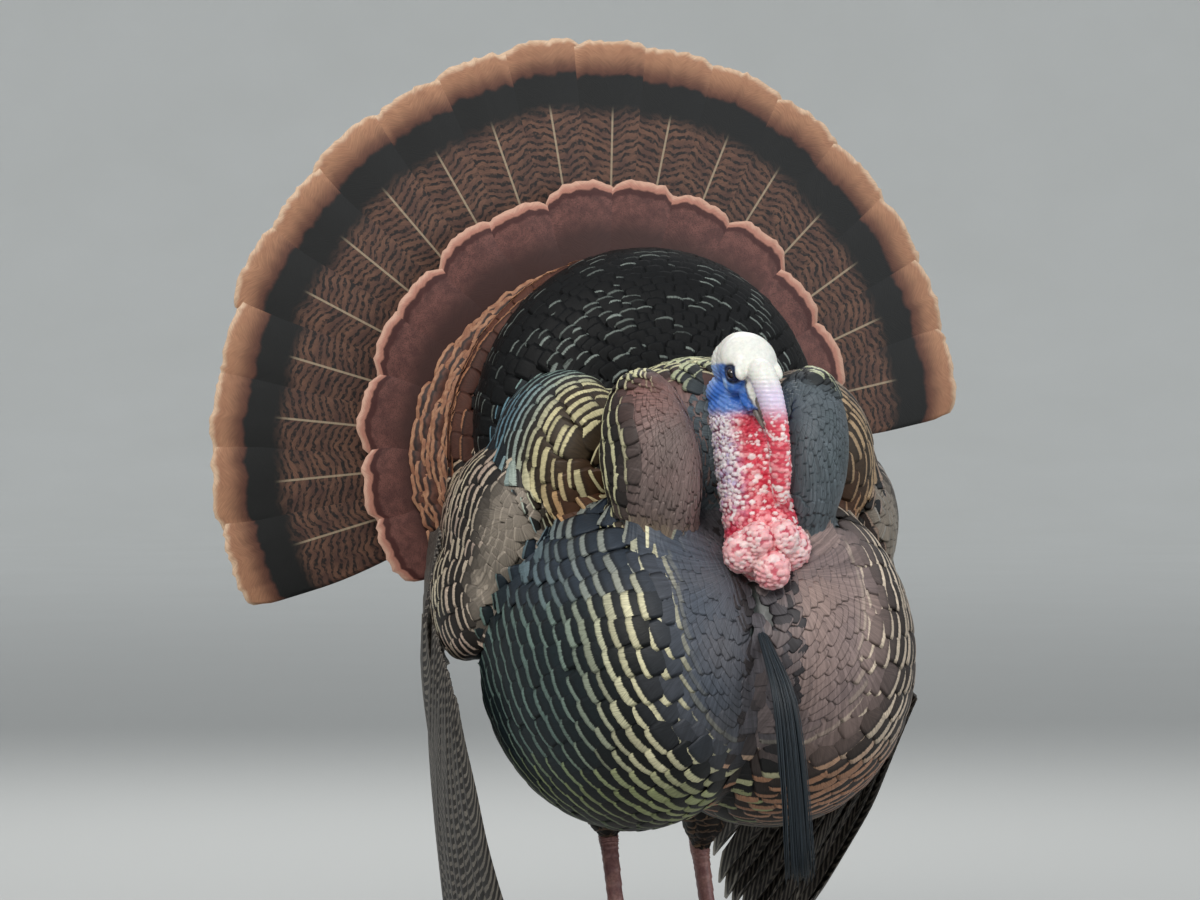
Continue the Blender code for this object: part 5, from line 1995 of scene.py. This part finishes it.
def leg_scale_material():
    material, w, shader = new_material("scaled leg skin", 0.48, 0.0, Coat_Weight=0.1)
    where = w.place()
    cloud = w.noise(where, 60.0, 3.0)
    cells = w.put("ShaderNodeTexVoronoi", {"Vector": where, "Scale": 420.0}).outputs["Distance"]
    colour = w.mix(w.step(0.3, 0.7, cloud), tone(150, 104, 104), tone(186, 138, 130))
    w.shaded(shader, colour, w.step(0.2, 0.9, cells, 1.0, 0.72))
    w.relief(shader, cells, 0.3, 0.0004, invert=True)
    return material


def add_toe(leg, claws, foot, toe, side):
    """One toe lying on the ground, with its claw."""
    heading, length, thick = TOES[toe]
    a = math.radians(heading) * SIDES[side]
    ahead = Vector((math.sin(a), -math.cos(a), 0))
    root = Vector((foot.x, foot.y, 0))
    t = np.linspace(0, 1, max(18, int(length * 900)))
    joints = 1.0 if toe == "hind" else 2.0
    r = thick * (1 - 0.34 * t) * (0.94 + 0.12 * np.abs(np.sin(t * math.pi * joints)))
    r[-1] *= 0.55
    line = np.array(root) + np.array(ahead) * (length * t)[:, None]
    line[:, 2] += np.maximum(r * 0.86, 0.002) + 0.004 * (1 - t) ** 2
    leg.add(line, np.stack([r, r * 0.94], 1), 30, scutes(3.4, 6.0, 0.0006), flat=0.0)
    start = root + ahead * (length - 0.004)
    claw, radii = curve_through(
        [start + Vector((0, 0, thick * 0.62)),
         start + ahead * CLAW_LENGTH * 0.35 + Vector((0, 0, thick * 0.74)),
         start + ahead * CLAW_LENGTH * 0.7 + Vector((0, 0, thick * 0.56)),
         start + ahead * (CLAW_LENGTH + 0.001) + Vector((0, 0, thick * 0.16))],
        [thick * 0.50, thick * 0.42, thick * 0.27, 0.0005], 16)
    claws.add(claw, radii[:, 0], 16, flat=0.0)


def build_legs():
    scaled = leg_scale_material()
    horn = horn_material("claw horn", tone(44, 38, 36), tone(86, 76, 68))
    for side, s in SIDES.items():
        hock, foot = placed(*mirrored(HOCK[side], side)), placed(*mirrored(FOOT[side], side))
        leg, claws = Tubes(), Tubes()
        shank, radii = curve_through(
            [hock.lerp(foot, -0.12), hock, hock.lerp(foot, 0.10), hock.lerp(foot, 0.5),
             hock.lerp(foot, 0.88), foot.lerp(hock, 0.02)],
            [(0.0088, 0.0100), (0.0094, 0.0108), (0.0080, 0.0090), (0.0072, 0.0082),
             (0.0078, 0.0088), (0.0100, 0.0104)], 150)
        leg.add(shank, radii, 44, scutes(6.2, 5.0, 0.0009), up=FRONT)
        ball, radii = curve_through(
            [foot + Vector((0, 0.012, 0.002)), foot + Vector((0, 0.004, -0.003)),
             foot + Vector((0, -0.008, -0.005)), foot + Vector((0, -0.016, -0.006))],
            [(0.0060, 0.0050), (0.0130, 0.0100), (0.0145, 0.0100), (0.0070, 0.0060)], 20)
        leg.add(ball, radii, 36, scutes(3.0, 7.0, 0.0005), flat=0.0)
        for toe in TOES:
            add_toe(leg, claws, foot, toe, side)
        at = hock.lerp(foot, 0.66)
        out = Vector((-0.45 * s, 0.85, 0.0))
        spur, radii = curve_through(
            [at, at + out * 0.012, at + out * 0.021 + Vector((0, 0, 0.003)),
             at + out * 0.028 + Vector((0, 0, 0.008))], [0.0054, 0.0046, 0.0030, 0.0005], 16)
        claws.add(spur, radii[:, 0], 16)
        names = [f"claw_{toe}_{side}" for toe in TOES]
        finish_piece(
            leg.piece("leg_" + side), scaled, "leg_scale", "shank_" + side, "foot_" + side)
        finish_piece(claws.piece("claws_" + side), horn, "horn", "spur_" + side, *names)


# ---------------------------------------------------------------- studio
AIM = Vector((-0.0022, 0.2106, 0.565))
VIEW_TURN, VIEW_RISE, VIEW_FAR = math.radians(-20.0), math.radians(1.28), 8.0
LENS = 238.0


def area_light(name, place, size, power, colour=(1, 1, 1)):
    """A soft light at the place, turned to the bird's middle."""
    data = bpy.data.lights.new(name, "AREA")
    data.size = size
    data.energy = power
    data.color = colour
    obj = bpy.data.objects.new(name, data)
    bpy.context.scene.collection.objects.link(obj)
    obj.location = place
    ahead = Vector((0, 0, 0.5)) - Vector(place)
    obj.rotation_euler = ahead.to_track_quat("-Z", "Y").to_euler()


def floor_sweep(radius=14.0, rise=5.0, bend=4.0, around=96):
    """A round floor whose rim curves up softly into a wall."""
    profile = [(r, 0.0) for r in np.linspace(1.0, radius, 12)]
    profile += [
        (radius + bend * math.sin(a), bend * (1 - math.cos(a)))
        for a in np.linspace(0.1, math.pi / 2, 14)
    ]
    profile.append((radius + bend, bend + rise))
    turn = np.linspace(0, 2 * math.pi, around, endpoint=False)
    points = [(0.0, 0.0, 0.0)]
    for r, z in profile:
        points += [(r * math.cos(t), r * math.sin(t), z) for t in turn]
    faces = [(0, 1 + k, 1 + (k + 1) % around) for k in range(around)]
    for ring in range(len(profile) - 1):
        near = 1 + ring * around
        far = near + around
        faces += [(near + k, far + k, far + (k + 1) % around, near + (k + 1) % around)
                  for k in range(around)]
    mesh = bpy.data.meshes.new("floor")
    mesh.from_pydata(points, [], faces)
    shade_smooth(mesh)
    return mesh


def floor_material():
    """Pale in the middle, with faint clouds, and darker far out."""
    material, w, shader = new_material("pale floor", 0.85)
    where = w.place()
    pale = w.mix(w.noise(where, 3.0, 4.0), tone(212, 213, 210), tone(220, 221, 219))
    reach = w.put("ShaderNodeVectorMath", {0: where}, operation="LENGTH").outputs["Value"]
    w.feed(shader.inputs["Base Color"], w.mix(w.step(3.0, 15.0, reach), tone(162, 163, 161), pale))
    return material


def build_stage():
    scene = bpy.context.scene
    scene.view_settings.view_transform = "Standard"
    data = bpy.data.cameras.new("camera")
    data.lens = LENS
    data.sensor_width = 36.0
    data.clip_end = 100.0
    camera = bpy.data.objects.new("camera", data)
    scene.collection.objects.link(camera)
    away = Vector((
        math.sin(VIEW_TURN) * math.cos(VIEW_RISE),
        -math.cos(VIEW_TURN) * math.cos(VIEW_RISE),
        math.sin(VIEW_RISE),
    ))
    camera.location = AIM + away * VIEW_FAR
    camera.rotation_euler = (-away).to_track_quat("-Z", "Y").to_euler()
    scene.camera = camera
    floor = link("floor", floor_sweep())
    floor.data.materials.append(floor_material())
    area_light("key", (-2.4, -3.6, 3.4), 1.8, 135.0, (1.0, 0.97, 0.93))
    area_light("fill", (3.0, -2.6, 1.8), 2.6, 45.0, (0.93, 0.96, 1.0))
    area_light("rim", (0.8, 3.2, 2.8), 2.2, 80.0)
    world = bpy.data.worlds.new("studio")
    scene.world = world
    world.use_nodes = True
    world.node_tree.nodes["Background"].inputs[0].default_value = (0.80, 0.83, 0.86, 1.0)
    world.node_tree.nodes["Background"].inputs[1].default_value = 0.85


# ---------------------------------------------------------------- operators
def settings_of(context):
    return context.scene.turkey_plumage, context.scene.turkey_head


class TURKEY_OT_stage(bpy.types.Operator):
    """Camera, floor and soft lights"""

    bl_idname = "turkey.stage"
    bl_label = "Studio"

    def execute(self, context):
        build_stage()
        return {"FINISHED"}


class TURKEY_OT_skin(bpy.types.Operator):
    """One skin over the whole flesh, with the bare head's folds, lids and warts"""

    bl_idname = "turkey.skin"
    bl_label = "Skin and bare head"

    def execute(self, context):
        build_skin(*settings_of(context))
        return {"FINISHED"}


class TURKEY_OT_body_coat(bpy.types.Operator):
    """Body feathers in rows over the skin"""

    bl_idname = "turkey.body_coat"
    bl_label = "Body plumage"

    def execute(self, context):
        build_body_coat(settings_of(context)[0])
        return {"FINISHED"}


class TURKEY_OT_tail(bpy.types.Operator):
    """Tail fan and its coverts"""

    bl_idname = "turkey.tail"
    bl_label = "Tail fan"

    def execute(self, context):
        build_tail(settings_of(context)[0])
        return {"FINISHED"}


class TURKEY_OT_wings(bpy.types.Operator):
    """Flight feathers of both wings"""

    bl_idname = "turkey.wings"
    bl_label = "Wing quills"

    def execute(self, context):
        build_wings(settings_of(context)[0])
        return {"FINISHED"}


class TURKEY_OT_beard(bpy.types.Operator):
    """Bristles of the beard"""

    bl_idname = "turkey.beard"
    bl_label = "Beard"

    def execute(self, context):
        build_beard(settings_of(context)[0])
        return {"FINISHED"}


class TURKEY_OT_face(bpy.types.Operator):
    """Eyes and bill"""

    bl_idname = "turkey.face"
    bl_label = "Eyes and bill"

    def execute(self, context):
        build_eyes()
        build_bill()
        return {"FINISHED"}


class TURKEY_OT_legs(bpy.types.Operator):
    """Scaled legs and feet, claws and spurs"""

    bl_idname = "turkey.legs"
    bl_label = "Legs and claws"

    def execute(self, context):
        build_legs()
        return {"FINISHED"}


OPERATORS = (
    TURKEY_OT_stage, TURKEY_OT_skin, TURKEY_OT_body_coat, TURKEY_OT_tail, TURKEY_OT_wings,
    TURKEY_OT_beard, TURKEY_OT_face, TURKEY_OT_legs,
)


class TURKEY_PT_panel(bpy.types.Panel):
    """Sidebar panel that lists the pieces of the bird"""

    bl_idname = "TURKEY_PT_panel"
    bl_label = "Wild turkey"
    bl_space_type = "VIEW_3D"
    bl_region_type = "UI"
    bl_category = "Turkey"

    def draw(self, context):
        plumage, head = settings_of(context)
        for group in (plumage, head):
            for name in group.__annotations__:
                self.layout.prop(group, name)
        for operator in OPERATORS:
            self.layout.operator(operator.bl_idname)


CLASSES = (TurkeyPlumage, TurkeyHead, *OPERATORS, TURKEY_PT_panel)


def register():
    for cls in CLASSES:
        bpy.utils.register_class(cls)
    bpy.types.Scene.turkey_plumage = PointerProperty(type=TurkeyPlumage)
    bpy.types.Scene.turkey_head = PointerProperty(type=TurkeyHead)


def unregister():
    del bpy.types.Scene.turkey_head
    del bpy.types.Scene.turkey_plumage
    for cls in reversed(CLASSES):
        bpy.utils.unregister_class(cls)


def main():
    register()
    for operator in OPERATORS:
        run = getattr(bpy.ops.turkey, operator.bl_idname.split(".")[1])
        if run() != {"FINISHED"}:
            raise RuntimeError(operator.bl_label + " did not finish")


if __name__ == "__main__":
    main()
